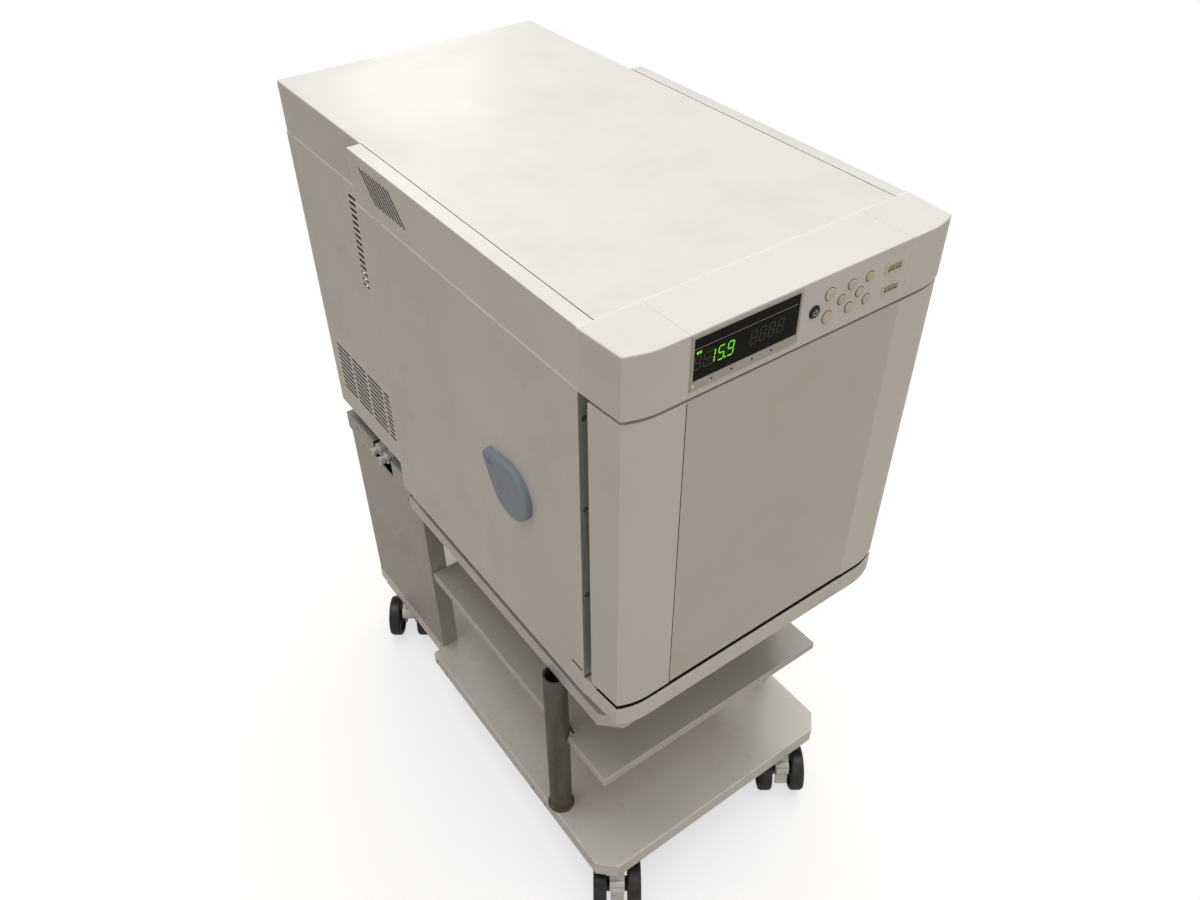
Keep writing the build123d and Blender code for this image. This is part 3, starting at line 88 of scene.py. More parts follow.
def put(tree, socket, value):
    """Links an input to another node's output, or sets it to a plain value."""
    if isinstance(value, bpy.types.NodeSocket):
        tree.links.new(value, socket)
    else:
        socket.default_value = value


def add(tree, kind, sockets=None, **settings):
    """One shader node: settings are its own options, sockets are values or links to its inputs."""
    node = tree.nodes.new("ShaderNode" + kind)
    for name, value in settings.items():
        setattr(node, name, value)
    for key, value in (sockets or {}).items():
        put(tree, node.inputs[key], value)
    return node


def calc(tree, operation, first, second=0.0, third=0.0, clamp=False):
    """One step of arithmetic on outputs or numbers."""
    node = add(tree, "Math", {0: first, 1: second, 2: third}, operation=operation, use_clamp=clamp)
    return node.outputs[0]


def blend_colours(tree, amount, first, second):
    """Mixes two colours: the first where the amount is 0, the second where it is 1."""
    return add(tree, "Mix", {"Factor": amount, 6: first, 7: second}, data_type="RGBA").outputs[2]


def object_point(tree):
    """The shaded point in the object's own frame."""
    return add(tree, "TexCoord").outputs["Object"]


scene = bpy.context.scene
scene.view_settings.view_transform = "Standard"
world = bpy.data.worlds.new("studio")
world.use_nodes = True
scene.world = world
sky = world.node_tree
sky.nodes.clear()
rays = add(sky, "LightPath").outputs
seen = calc(sky, "MAXIMUM", rays["Is Camera Ray"], rays["Is Transmission Ray"])
strength = add(sky, "MapRange", {"Value": seen, "To Min": SKY_LIGHT, "To Max": 1.0})
air = blend_colours(sky, seen, SKY_TINT, WHITE)
shade = add(sky, "Background", {"Color": air, "Strength": strength.outputs["Result"]})
add(sky, "OutputWorld", {"Surface": shade.outputs[0]})

for name, (place, target, size, power) in LAMPS.items():
    lamp_data = bpy.data.lights.new(name, "AREA")
    lamp_data.shape = "RECTANGLE"
    lamp_data.size, lamp_data.size_y = size
    lamp_data.energy = power
    lamp = bpy.data.objects.new(name, lamp_data)
    scene.collection.objects.link(lamp)
    aim = (Vector(target) - Vector(place)).to_track_quat("-Z", "Y")
    lamp.matrix_world = Matrix.Translation(place) @ aim.to_matrix().to_4x4()

corners = np.array([[-1, -1, 0], [1, -1, 0], [1, 1, 0], [-1, 1, 0]], float) * FLOOR_REACH
floor_mesh = bpy.data.meshes.new("floor")
floor_mesh.from_pydata(corners.tolist(), [], [(0, 1, 2, 3)])
floor = bpy.data.objects.new("floor", floor_mesh)
scene.collection.objects.link(floor)
floor_paint = bpy.data.materials.new("floor_paint")
floor_paint.use_nodes = True
tree = floor_paint.node_tree
tree.nodes.clear()
place = object_point(tree)
speck = add(tree, "TexNoise", {"Vector": place, "Scale": 3.0, "Detail": 2.0})
warm = blend_colours(tree, speck.outputs["Fac"], FLOOR_DARK, FLOOR_PALE)
matte = add(tree, "BsdfDiffuse", {"Color": warm})
lift = add(tree, "Emission", {"Color": FLOOR_LIFT, "Strength": 1.0})
near = add(tree, "AddShader", {0: matte.outputs[0], 1: lift.outputs[0]})
reach = add(tree, "VectorMath", {0: place}, operation="LENGTH")
far = add(tree, "MapRange", {"Value": reach.outputs["Value"], "From Min": FADE_START,
                             "From Max": FADE_END}, interpolation_type="SMOOTHSTEP")
white = add(tree, "Emission", {"Color": WHITE, "Strength": 1.0})
ground = add(tree, "MixShader", {0: far.outputs["Result"], 1: near.outputs[0],
                                 2: white.outputs[0]})
rays = add(tree, "LightPath").outputs
gloss = calc(tree, "MULTIPLY", rays["Is Glossy Ray"], FLOOR_GLOSS)
clear = calc(tree, "MAXIMUM", gloss, rays["Is Transmission Ray"])
seen = calc(tree, "MAXIMUM", rays["Is Camera Ray"], clear)
shown = add(tree, "MixShader", {0: seen, 1: matte.outputs[0], 2: ground.outputs[0]})
add(tree, "OutputMaterial", {"Surface": shown.outputs[0]})
floor_mesh.materials.append(floor_paint)

# Painted sheet metal of the stand and the cabinet: folded steel with a warm grey baked enamel,
# finely pebbled, a little grimy, pale on the folds and chipped dark in a few places. The pale
# folds are partly wear and partly painted highlight, and the stand's parts carry painted light
# and shade in their tones.

WARM_GREY = np.array([1.0, 0.992, 0.975])
# The stand is one paint. These shares make lighter copies for the base, shelf and deck, whose tops
# are lit, and darker ones for the plinth and columns, whose sides lie in shade: painted light and
# shade.
STAND_SHADING_TONES = {"base": 0.84, "mid_shelf": 0.74, "deck": 0.78, "plinth": 0.63, "columns": 0.62}
SHELL_PANELS = ("top_panel", "side_panels", "top_rails", "rear_side_panels", "rear_panel")
# Panels whose backs carry painted shade below the ledge.
BACK_SHADE_PANELS = ("top_rails", "rear_side_panels")
SHELL_TONE = (0.815, 0.812, 0.802)
# Near black, for dark joints and for painted shade on the backs of sheets.
JOINT_AND_SHADE_TONE = (0.07, 0.07, 0.07)
CHIP_TONE = (0.22, 0.2, 0.18)
GRIME_SHARES = (0.9, 0.84, 0.72)
PALEST = 0.95
# Width of the pale edges: wear and painted highlight.
WEAR_AND_HIGHLIGHT_WIDTH = 0.0022
PEBBLE_DEPTH = 0.00012
LEDGE_SHEET = 0.003
BACK_SHADE_WIDTH = 0.003
SKIN_INSET = 0.0002
SEAM_INSET = 0.0009
SEAM_REAR = 0.1475


def linear(red, green, blue):
    """A colour as a paint chart gives it (sRGB, 0 to 1) in the linear values shaders take."""
    chart = np.array([red, green, blue], float)
    low = chart / 12.92
    high = ((chart + 0.055) / 1.055) ** 2.4
    return (*np.where(chart <= 0.04045, low, high).tolist(), 1.0)


def shaded(colour, share):
    """A colour times a share, or times one share for each of its three parts, short of white."""
    return (*np.minimum(PALEST, np.multiply(colour[:3], share)).tolist(), 1.0)


def shader_group(name, inputs):
    """A node group with one output, Value, and the named inputs: numbers, or vectors of three."""
    group = bpy.data.node_groups.new(name, "ShaderNodeTree")
    for label, value in inputs.items():
        kind = "NodeSocketVector" if isinstance(value, tuple) else "NodeSocketFloat"
        socket = group.interface.new_socket(name=label, in_out="INPUT", socket_type=kind)
        socket.default_value = value
    group.interface.new_socket(name="Value", in_out="OUTPUT", socket_type="NodeSocketFloat")
    start = group.nodes.new("NodeGroupInput")
    finish = group.nodes.new("NodeGroupOutput")
    return group, start.outputs, finish.inputs["Value"]


def use(tree, group, sockets=None):
    """Places a node group in a material and gives its output."""
    return add(tree, "Group", sockets, node_tree=group).outputs["Value"]


# Stains: soft patches of noise, moved by Offset and drawn out by Stretch, from 0 to 1.
stains, given, result = shader_group(
    "stains", {"Scale": 3.0, "Offset": (0.0, 0.0, 0.0), "From": 0.45, "To": 0.7,
               "Stretch": (1.0, 1.0, 1.0)}
)
moved = add(stains, "VectorMath", {0: object_point(stains), 1: given["Offset"]}, operation="ADD")
drawn = add(stains, "VectorMath", {0: moved.outputs[0], 1: given["Stretch"]}, operation="MULTIPLY")
cloud = add(stains, "TexNoise", {"Vector": drawn.outputs[0], "Scale": given["Scale"], "Detail": 4.0,
                                 "Roughness": 0.6})
ramp = add(stains, "MapRange", {"Value": cloud.outputs["Fac"], "From Min": given["From"],
                                "From Max": given["To"]}, interpolation_type="SMOOTHSTEP")
stains.links.new(ramp.outputs["Result"], result)

# Pebble: the height of a fine noise on top of a broad one.
pebble, given, result = shader_group("pebble", {"Scale": 900.0})
place = object_point(pebble)
fine = add(pebble, "TexNoise", {"Vector": place, "Scale": given["Scale"], "Detail": 1.0})
broad = add(pebble, "TexNoise", {"Vector": place, "Scale": 45.0, "Detail": 0.0})
both = calc(pebble, "MULTIPLY_ADD", broad.outputs["Fac"], 1.6, fine.outputs["Fac"])
pebble.links.new(both, result)

# Box edges: the second smallest of a point's distances from the three pairs of box faces is small
# only along the box's edges, so the mask falls from 1 to 0 as it grows to Width.
box_edges, given, result = shader_group(
    "box_edges", {"Low": (0.0, 0.0, 0.0), "High": (1.0, 1.0, 1.0), "Width": 0.002}
)
place = object_point(box_edges)
under = add(box_edges, "VectorMath", {0: place, 1: given["Low"]}, operation="SUBTRACT")
over = add(box_edges, "VectorMath", {0: given["High"], 1: place}, operation="SUBTRACT")
near = add(box_edges, "VectorMath", {0: under.outputs[0], 1: over.outputs[0]}, operation="MINIMUM")
parts = add(box_edges, "SeparateXYZ", {0: near.outputs[0]}).outputs
smaller = calc(box_edges, "MINIMUM", parts[0], parts[1])
larger = calc(box_edges, "MAXIMUM", parts[0], parts[1])
inner = calc(box_edges, "MINIMUM", larger, parts[2])
second = calc(box_edges, "MAXIMUM", smaller, inner)
fade = add(box_edges, "MapRange", {"Value": second, "From Min": 0.0, "From Max": given["Width"],
                                   "To Min": 1.0, "To Max": 0.0}, interpolation_type="SMOOTHSTEP")
box_edges.links.new(fade.outputs["Result"], result)

# Chips: the highest spots of a noise, where Amount times the Edge mask lifts it.
chips, given, result = shader_group("chips", {"Edge": 0.0, "Scale": 90.0, "Amount": 0.3})
spots = add(chips, "TexNoise", {"Vector": object_point(chips), "Scale": given["Scale"],
                                "Detail": 3.0, "Roughness": 0.7})
lift = calc(chips, "MULTIPLY_ADD", given["Edge"], given["Amount"], spots.outputs["Fac"])
sharp = add(chips, "MapRange", {"Value": lift, "From Min": 0.9, "From Max": 0.93})
chips.links.new(sharp.outputs["Result"], result)


def new_material(name):
    """An empty node material with one Principled shader on its output."""
    material = bpy.data.materials.new(name)
    material.use_nodes = True
    tree = material.node_tree
    tree.nodes.clear()
    shader = add(tree, "BsdfPrincipled")
    add(tree, "OutputMaterial", {"Surface": shader.outputs[0]})
    return material, tree, shader


def feed(tree, shader, **values):
    """Sets or links the Principled inputs, named with underscores for spaces."""
    for label, value in values.items():
        put(tree, shader.inputs[label.replace("_", " ")], value)


def bump(tree, height, depth, strength=1.0):
    """Surface relief of the given depth in metres."""
    return add(tree, "Bump", {"Height": height, "Distance": depth, "Strength": strength}).outputs[0]


def dress(material, *names):
    """Gives CAD nodes their finish."""
    for name in names:
        data = nodes[name].data
        data.materials.clear()
        data.materials.append(material)


def point_parts(tree):
    """The x, y and z of the shaded point in the object's own frame."""
    return add(tree, "SeparateXYZ", {0: object_point(tree)}).outputs


def band(tree, low, high):
    """A mask that is 1 where the distance from the middle plane lies between two limits."""
    away = calc(tree, "ABSOLUTE", point_parts(tree)[0])
    return calc(tree, "MULTIPLY", calc(tree, "LESS_THAN", away, high),
                calc(tree, "GREATER_THAN", away, low))


def enamel(name, colour, box=None, grime=0.5, wear_and_highlight=0.5, chip=0.0, roughness=0.4, seed=0.0,
           back_shade_reach=0.0, seam=0.0):
    """Baked enamel on folded sheet. box is the (low, high) pair whose edges are paled, partly as
    wear and partly as painted highlight. Below the ledge, the sheet's back is painted in shade,
    near black, just inside the given distance from the middle plane. Beyond the distance seam there
    is a dark joint."""
    material, tree, shader = new_material(name)
    cloud = use(tree, stains, {"Scale": 2.2, "Offset": (seed, seed, 0.0), "From": 0.4, "To": 0.75})
    drift = use(tree, stains, {"Scale": 9.0, "Offset": (0.0, seed, seed), "From": 0.45, "To": 0.8})
    streak = use(tree, stains, {"Scale": 14.0, "Offset": (seed, 0.0, seed), "From": 0.55, "To": 0.9,
                                "Stretch": (1.0, 1.0, 0.12)})
    dark, brown, pale = shaded(colour, 0.86), shaded(colour, GRIME_SHARES), shaded(colour, 1.4)
    tint = blend_colours(tree, calc(tree, "MULTIPLY", cloud, 0.5 * grime), colour, dark)
    tint = blend_colours(tree, calc(tree, "MULTIPLY", drift, 0.45 * grime), tint, brown)
    tint = blend_colours(tree, calc(tree, "MULTIPLY", streak, 0.15 * grime), tint, pale)
    rough = calc(tree, "MULTIPLY_ADD", drift, 0.12, roughness)
    rough = calc(tree, "MULTIPLY_ADD", streak, -0.06, rough)
    if box:
        low, high = (tuple(corner) for corner in box)
        edge = use(tree, box_edges, {"Low": low, "High": high, "Width": WEAR_AND_HIGHLIGHT_WIDTH})
        # Pale edges: partly wear, partly painted highlight where a fold would catch the light.
        tint = blend_colours(tree, calc(tree, "MULTIPLY", edge, 0.6 * wear_and_highlight), tint, pale)
        if chip:
            broken = use(tree, chips, {"Edge": edge, "Scale": 75.0, "Amount": chip})
            tint = blend_colours(tree, broken, tint, linear(*CHIP_TONE))
    # Painted shade: the sheet's back below the ledge is near black, where it is seen dark through
    # the vents.
    if back_shade_reach:
        under = calc(tree, "LESS_THAN", point_parts(tree)[2], box[1].z - LEDGE_SHEET)
        behind = calc(tree, "MULTIPLY", under, band(tree, back_shade_reach - BACK_SHADE_WIDTH, back_shade_reach))
        tint = blend_colours(tree, behind, tint, linear(*JOINT_AND_SHADE_TONE))
    if seam:
        front = calc(tree, "LESS_THAN", point_parts(tree)[1], SEAM_REAR)
        line = calc(tree, "MULTIPLY", band(tree, seam, 1.0), front)
        tint = blend_colours(tree, line, tint, linear(*JOINT_AND_SHADE_TONE))
    relief = bump(tree, use(tree, pebble), PEBBLE_DEPTH, 0.35)
    feed(tree, shader, Base_Color=tint, Roughness=rough, Normal=relief)
    return material


# Each stand part's tone is painted light and shade on the one enamel.
for number, (name, tone) in enumerate(STAND_SHADING_TONES.items()):
    dress(enamel(f"stand_enamel_painted_shading_{name}", linear(*(tone * WARM_GREY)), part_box(name), chip=0.28,
                 wear_and_highlight=0.9, roughness=0.25, seed=1.7 * number), name)

for number, name in enumerate(SHELL_PANELS):
    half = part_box(name)[1].x
    dress(enamel(f"shell_enamel_{name}", linear(*SHELL_TONE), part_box(name), chip=0.22, wear_and_highlight=0.5,
                 grime=1.1, seed=11.3 + 2.1 * number,
                 back_shade_reach=half - SKIN_INSET if name in BACK_SHADE_PANELS else 0.0,
                 seam=half - SEAM_INSET if name == "top_panel" else 0.0), name)

# Bowed covers of the head and the chin, and the door's two pillars: moulded plastic, painted to
# match the shell but a little warmer and duller.

for number, name in enumerate(("front_covers", "head_centre", "door_shell")):
    dress(enamel(f"cover_paint_{name}", linear(0.82, 0.817, 0.80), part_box(name), chip=0.24,
                 wear_and_highlight=0.4, grime=0.6, roughness=0.45, seed=31.0 + 1.9 * number), name)

# Door panel: a flat painted steel sheet held between the pillars, greyer and silkier than they
# are, with a little wear and painted highlight on its edges.

dress(enamel("door_sheet_paint", linear(0.78, 0.77, 0.745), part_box("door_panel"), grime=0.7,
             wear_and_highlight=0.4, roughness=0.38, seed=41.0), "door_panel")

# Stainless work space, frame and door core: cold rolled sheet with a faint grain, folded and spot
# welded. The shelf in it is of drawn wire, with no grain to see.

EVEN_GRAIN = (1.0, 1.0, 1.0)
UPRIGHT_GRAIN = (1.0, 1.0, 0.03)

brushed, given, result = shader_group("brushed", {"Stretch": EVEN_GRAIN})
drawn = add(brushed, "VectorMath", {0: object_point(brushed), 1: given["Stretch"]},
            operation="MULTIPLY")
hair = add(brushed, "TexNoise", {"Vector": drawn.outputs[0], "Scale": 260.0, "Detail": 3.0,
                                 "Roughness": 0.7})
brushed.links.new(hair.outputs["Fac"], result)


def metal(name, colour, stretch=EVEN_GRAIN, roughness=0.3, grime=0.3, seed=0.0, metallic=1.0):
    """Bare or plated metal with a grain along the axis that is least stretched."""
    material, tree, shader = new_material(name)
    grain = use(tree, brushed, {"Stretch": stretch})
    cloud = use(tree, stains, {"Scale": 6.0, "Offset": (seed, seed, seed), "From": 0.4, "To": 0.8})
    tint = blend_colours(tree, calc(tree, "MULTIPLY", cloud, grime), colour, shaded(colour, 0.7))
    light = calc(tree, "MULTIPLY_ADD", grain, 0.2, roughness - 0.1)
    rough = calc(tree, "MULTIPLY_ADD", cloud, 0.15 * grime, light)
    feed(tree, shader, Base_Color=tint, Roughness=rough, Metallic=metallic,
         Normal=bump(tree, grain, 0.00004, 0.4))
    return material


dress(metal("stainless_sheet", linear(0.74, 0.74, 0.73), UPRIGHT_GRAIN),
      "liner", "door_core", "air_baffle", "shelf_rails")
# Painted light: the frame is coloured far paler than its grey, as if lit, where it is seen deep in
# the gap beside the door.
dress(metal("frame_sheet_painted_light", linear(0.86, 0.885, 0.89), UPRIGHT_GRAIN, roughness=0.5, grime=0.4,
            seed=3.0, metallic=0.3), "front_frame")
dress(metal("shelf_wire", linear(0.76, 0.76, 0.75), roughness=0.22), "wire_shelf")

# Zinc plated pieces: caster forks and plates, stop levers, bottom pan and hinge brackets, pressed
# from sheet steel, plated, and dulled in use.

zinc_forks = [name for name in nodes if name.startswith(("caster_fork", "stop_lever"))]
dress(metal("zinc_plate", linear(0.86, 0.875, 0.87), roughness=0.45, seed=5.0, metallic=0.35),
      *zinc_forks)
dress(metal("zinc_channel", linear(0.42, 0.42, 0.41), roughness=0.5, grime=0.6, seed=6.0),
      "caster_mounts", "bottom_pan")
dress(metal("zinc_hinge", linear(0.62, 0.62, 0.6), roughness=0.35, grime=0.4, seed=7.0),
      "hinge_brackets")

# Machinery inside: a black enamelled compressor, grey motors, pressed aluminium fans, and coils
# of pipe in aluminium fins.

for name, colour, rough in (("compressor", linear(0.1, 0.1, 0.105), 0.3),
                            ("fan_motors", linear(0.4, 0.41, 0.42), 0.45)):
    dress(enamel(f"{name}_paint", colour, grime=0.8, roughness=rough, seed=51.0), name)
dress(metal("fan_aluminium", linear(0.75, 0.75, 0.75), roughness=0.36, seed=8.0),
      "circulation_fan", "condenser_fan")
dress(metal("coil_fins", linear(0.7, 0.66, 0.6), (1.0, 0.05, 1.0), roughness=0.4, seed=9.0),
      "coils")

# Pole pair: bare drawn pipe with dark mill scale, welded to the base and rusting from the weld
# upwards.

POLE_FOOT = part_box("poles")[0].z
RUST_START, RUST_END = 0.002, 0.03

material, tree, shader = new_material("pole_steel")
scale_marks = use(tree, stains, {"Scale": 30.0, "From": 0.35, "To": 0.75,
                                 "Stretch": (1.0, 1.0, 0.25)})
patches = use(tree, stains, {"Scale": 55.0, "Offset": (4.0, 1.0, 0.0), "From": 0.35, "To": 0.6})
height = calc(tree, "SUBTRACT", point_parts(tree)[2], POLE_FOOT)
foot = add(tree, "MapRange", {"Value": height, "From Min": RUST_START, "From Max": RUST_END,
                              "To Min": 1.0, "To Max": 0.0}, interpolation_type="SMOOTHSTEP")
rust = calc(tree, "MULTIPLY", foot.outputs["Result"],
            calc(tree, "MULTIPLY_ADD", patches, 0.9, 0.25), clamp=True)
tint = blend_colours(tree, scale_marks, linear(0.42, 0.42, 0.395), linear(0.29, 0.29, 0.275))
tint = blend_colours(tree, rust, tint, linear(0.36, 0.29, 0.22))
rough = calc(tree, "MULTIPLY_ADD", rust, 0.35, 0.42)
metallic = calc(tree, "MULTIPLY_ADD", rust, -0.5, 0.6)
feed(tree, shader, Base_Color=tint, Roughness=rough, Metallic=metallic,
     Normal=bump(tree, patches, 0.0003, 0.4))
dress(material, "poles")

# Rubber and soft plastic: cable port plug, door gasket, cabinet feet and foam block, with the
# black power inlet, the dark fitting bracket and its nickel plated fittings.


def plastic(name, colour, roughness=0.5, mottle=0.15, depth=0.0001, scale=700.0, seed=0.0):
    """Moulded plastic or rubber with a fine spark texture and slight mottling."""
    material, tree, shader = new_material(name)
    cloud = use(tree, stains, {"Scale": 12.0, "Offset": (seed, 0.0, seed), "From": 0.35, "To": 0.8})
    tint = blend_colours(tree, calc(tree, "MULTIPLY", cloud, mottle), colour, shaded(colour, 0.8))
    rough = calc(tree, "MULTIPLY_ADD", cloud, 0.1, roughness)
    grain = use(tree, pebble, {"Scale": scale})
    feed(tree, shader, Base_Color=tint, Roughness=rough, Normal=bump(tree, grain, depth, 0.4))
    return material


dress(plastic("port_rubber", linear(0.53, 0.575, 0.64), 0.45, 0.5, seed=2.0), "port_plug")
dress(plastic("gasket_rubber", linear(0.22, 0.22, 0.23), 0.6), "door_gasket")
dress(plastic("foot_rubber", linear(0.13, 0.13, 0.13), 0.6), "cabinet_feet")
# Painted shade: the foam is a darker brown than real foam, so that the inside seen through the
# vents lies dark.
dress(plastic("foam", linear(0.30, 0.27, 0.2), 0.85, 0.6, 0.0006, 160.0), "insulation")
dress(plastic("inlet_plastic", linear(0.09, 0.09, 0.09), 0.4), "power_inlet")
dress(plastic("bracket_paint", linear(0.27, 0.28, 0.28), 0.55, 0.4), "fitting_bracket")
dress(metal("fitting_nickel", linear(0.88, 0.885, 0.88), roughness=0.4, grime=0.2, metallic=0.5),
      "pipe_fittings")

# Caster wheels: moulded twin nylon wheels with a dark tread and a lighter hub, on a zinc plated
# axle. The colours follow the distance from the axle.

TREAD_START, TREAD_FULL = 0.0290, 0.0293
AXLE_FULL, AXLE_END = 0.0040, 0.0041

for joint in frame["joints"]:
    if not joint["name"].endswith("_roll"):
        continue
    material, tree, shader = new_material(f"tyre_{joint['name']}")
    arm = add(tree, "VectorMath", {0: object_point(tree), 1: joint["pos_m"]}, operation="SUBTRACT")
    across = add(tree, "VectorMath", {0: arm.outputs[0], 1: joint["axis"]},
                 operation="CROSS_PRODUCT")
    radius = add(tree, "VectorMath", {0: across.outputs[0]}, operation="LENGTH").outputs["Value"]
    tread = add(tree, "MapRange", {"Value": radius, "From Min": TREAD_START,
                                   "From Max": TREAD_FULL})
    axle = add(tree, "MapRange", {"Value": radius, "From Min": AXLE_FULL, "From Max": AXLE_END,
                                  "To Min": 1.0, "To Max": 0.0})
    dust = use(tree, stains, {"Scale": 60.0, "From": 0.4, "To": 0.75})
    hub = blend_colours(tree, dust, linear(0.25, 0.25, 0.262), linear(0.20, 0.20, 0.21))
    tyre = blend_colours(tree, dust, linear(0.17, 0.17, 0.18), linear(0.25, 0.245, 0.245))
    tint = blend_colours(tree, tread.outputs["Result"], hub, tyre)
    tint = blend_colours(tree, axle.outputs["Result"], tint, linear(0.62, 0.62, 0.6))
    rough = calc(tree, "MULTIPLY_ADD", dust, 0.2, 0.35)
    feed(tree, shader, Base_Color=tint, Roughness=rough, Metallic=axle.outputs["Result"],
         Normal=bump(tree, use(tree, pebble, {"Scale": 500.0}), 0.0001, 0.3))
    dress(material, joint["child"])

# Display: a satin moulded bezel round a window of black acrylic, which is glossy and a little
# smeared.

dress(plastic("bezel_plastic", linear(0.70, 0.69, 0.66), 0.32, 0.2), "display_bezel")
material, tree, shader = new_material("black_acrylic")
smear = use(tree, stains, {"Scale": 30.0, "From": 0.45, "To": 0.8})
feed(tree, shader, Base_Color=linear(0.03, 0.03, 0.035), Specular_IOR_Level=0.12,
     Roughness=calc(tree, "MULTIPLY_ADD", smear, 0.12, 0.1))
dress(material, "display_window")

# Keys: domed caps moulded in light beige, each yellowed to its own degree, and the power key
# black. The number frames and the number wheels in them are of like plastic.

KEY_WARMTH = {"up_left": 0.0, "low_left": 0.3, "middle": 0.5, "up_centre": 0.2, "low_centre": 0.4,
              "centre_right": 0.1, "up_right": 1.0, "low_right": 0.2}

dress(plastic("key_black", linear(0.1, 0.1, 0.1), 0.35), "key_power")
for name, warmth in KEY_WARMTH.items():
    tone = linear(0.80, 0.775 - 0.01 * warmth, 0.72 - 0.09 * warmth)
    dress(plastic(f"key_{name}_plastic", tone, 0.42, 0.3, seed=3.0 + warmth), f"key_{name}")
dress(plastic("number_frame_plastic", linear(0.83, 0.80, 0.71), 0.45, 0.3), "number_frames")
dress(plastic("number_wheel_plastic", linear(0.86, 0.84, 0.78), 0.4, 0.2),
      "number_wheels_upper", "number_wheels_lower")

# Display marks: a readout of five digits, of which the last three are lit, an unlit one of four,
# two small lit bars and a thin printed rule above them, and five dots on the strip below, the
# first of them lit.

FACE_RIGHT = np.array([1.0, 0.0, 0.0])
FACE_UP = np.array([0.0, 0.0, 1.0])
DIGIT_HEIGHT = 0.0162
DIGIT_WIDTH = 0.0082
STROKE = 0.0014
LEAN = 0.11
SEGMENTS = {
    "0": "abcdef", "1": "bc", "2": "abged", "3": "abgcd", "4": "fgbc", "5": "afgcd",
    "6": "afgedc", "7": "abc", "8": "abcdefg", "9": "abcdfg", "": "",
}
LEFT_READOUT = (-0.1408, -0.1300, -0.1237, -0.1122, -0.1008)
RIGHT_READOUT = (-0.0722, -0.0608, -0.0494, -0.0380)
LIT_DIGITS = dict(zip(LEFT_READOUT[2:], "159"))
READOUT_FOOT = 1.0108
POINT_PLACE = (-0.1022, READOUT_FOOT + 0.0008)
RUN_BARS = ((-0.1372, -0.1348), (-0.1340, -0.1316))
RUN_FOOT, RUN_HEAD = 1.0284, 1.0312
RULE_LEFT, RULE_RIGHT = -0.1405, -0.0115
RULE_FOOT, RULE_HEAD = 1.0342, 1.0347
DOT_PLACES = (-0.1180, -0.0932, -0.0675, -0.0428)
LAMP_PLACE = -0.1405
DOT_HEIGHT = 0.9950
POINT_RADIUS, DOT_RADIUS, LAMP_RADIUS = 0.0011, 0.0013, 0.0014
# Each mark's back and front, as heights above the face that it is on.
LIT_RISE, UNLIT_RISE, RULE_RISE = (0.0, 0.0001), (0.0, 0.00008), (0.0, 0.00006)
DOT_RISE, LAMP_RISE = (-0.0001, 0.00012), (-0.0001, 0.00015)


def piece(name, points, faces, material, body, smooth=False):
    """A new mesh piece that rides on a body, its points already in the object's frame."""
    mesh = bpy.data.meshes.new(name)
    mesh.from_pydata(np.asarray(points, float).tolist(), [], faces)
    mesh.materials.append(material)
    if smooth:
        mesh.polygons.foreach_set("use_smooth", np.ones(len(mesh.polygons), bool))
    mesh.update()
    obj = bpy.data.objects.new(name, mesh)
    scene.collection.objects.link(obj)
    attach(obj, body)


def plates(outlines, origin, rise, across=FACE_RIGHT, upward=FACE_UP):
    """Points and faces of flat plates: each outline (n, 2), counter-clockwise, stands between
    the two heights of rise above the plane through origin."""
    normal = np.cross(across, upward)
    points, faces = [], []
    for outline in outlines:
        flat = np.outer(outline[:, 0], across) + np.outer(outline[:, 1], upward) + origin
        count, start = len(outline), sum(len(block) for block in points)
        points.append(np.concatenate([flat + height * normal for height in rise]))
        ring = np.arange(count)
        after = (ring + 1) % count
        faces.append((start + ring[::-1]).tolist())
        faces.append((start + count + ring).tolist())
        sides = np.stack([ring, after, after + count, ring + count], axis=1) + start
        faces.extend(sides.tolist())
    return np.concatenate(points), faces


def disc(radius, x, z, steps=20):
    """Outline of a round dot: points at equal turns about (x, z)."""
    turn = np.arange(steps) * 2 * np.pi / steps
    return np.stack([x + radius * np.cos(turn), z + radius * np.sin(turn)], axis=1)


def bar(x0, z0, x1, z1):
    """Outline of a rectangle, from its lower left to its upper right corner."""
    return np.array([[x0, z0], [x1, z0], [x1, z1], [x0, z1]])


def segment(letter, x, z):
    """Outline of one bar of a digit whose lower left corner is at (x, z): a long hexagon that
    leans to the right by its height times LEAN."""
    wide, tall, half = DIGIT_WIDTH - STROKE, (DIGIT_HEIGHT - STROKE) / 2, STROKE / 2
    starts = {"a": (0, 2 * tall), "g": (0, tall), "d": (0, 0), "f": (0, tall), "b": (wide, tall),
              "e": (0, 0), "c": (wide, 0)}
    length = wide if letter in "agd" else tall
    gap = 0.25 * STROKE
    run = np.array([gap, gap + half, length - gap - half, length - gap, length - gap - half,
                    gap + half])
    side = np.array([0, -half, -half, 0, half, half])
    local = np.stack([run, side] if letter in "agd" else [-side, run], axis=1)
    local = local + np.array(starts[letter]) + half
    local[:, 0] += LEAN * local[:, 1]
    return local + np.array([x, z])


def glow(name, colour, strength):
    """A lamp segment: coloured plastic that shines a little."""
    material, tree, shader = new_material(name)
    flicker = use(tree, stains, {"Scale": 400.0, "From": 0.2, "To": 0.8})
    tint = blend_colours(tree, flicker, colour, shaded(colour, 0.8))
    feed(tree, shader, Base_Color=tint, Roughness=0.4, Emission_Color=tint,
         Emission_Strength=strength)
    return material


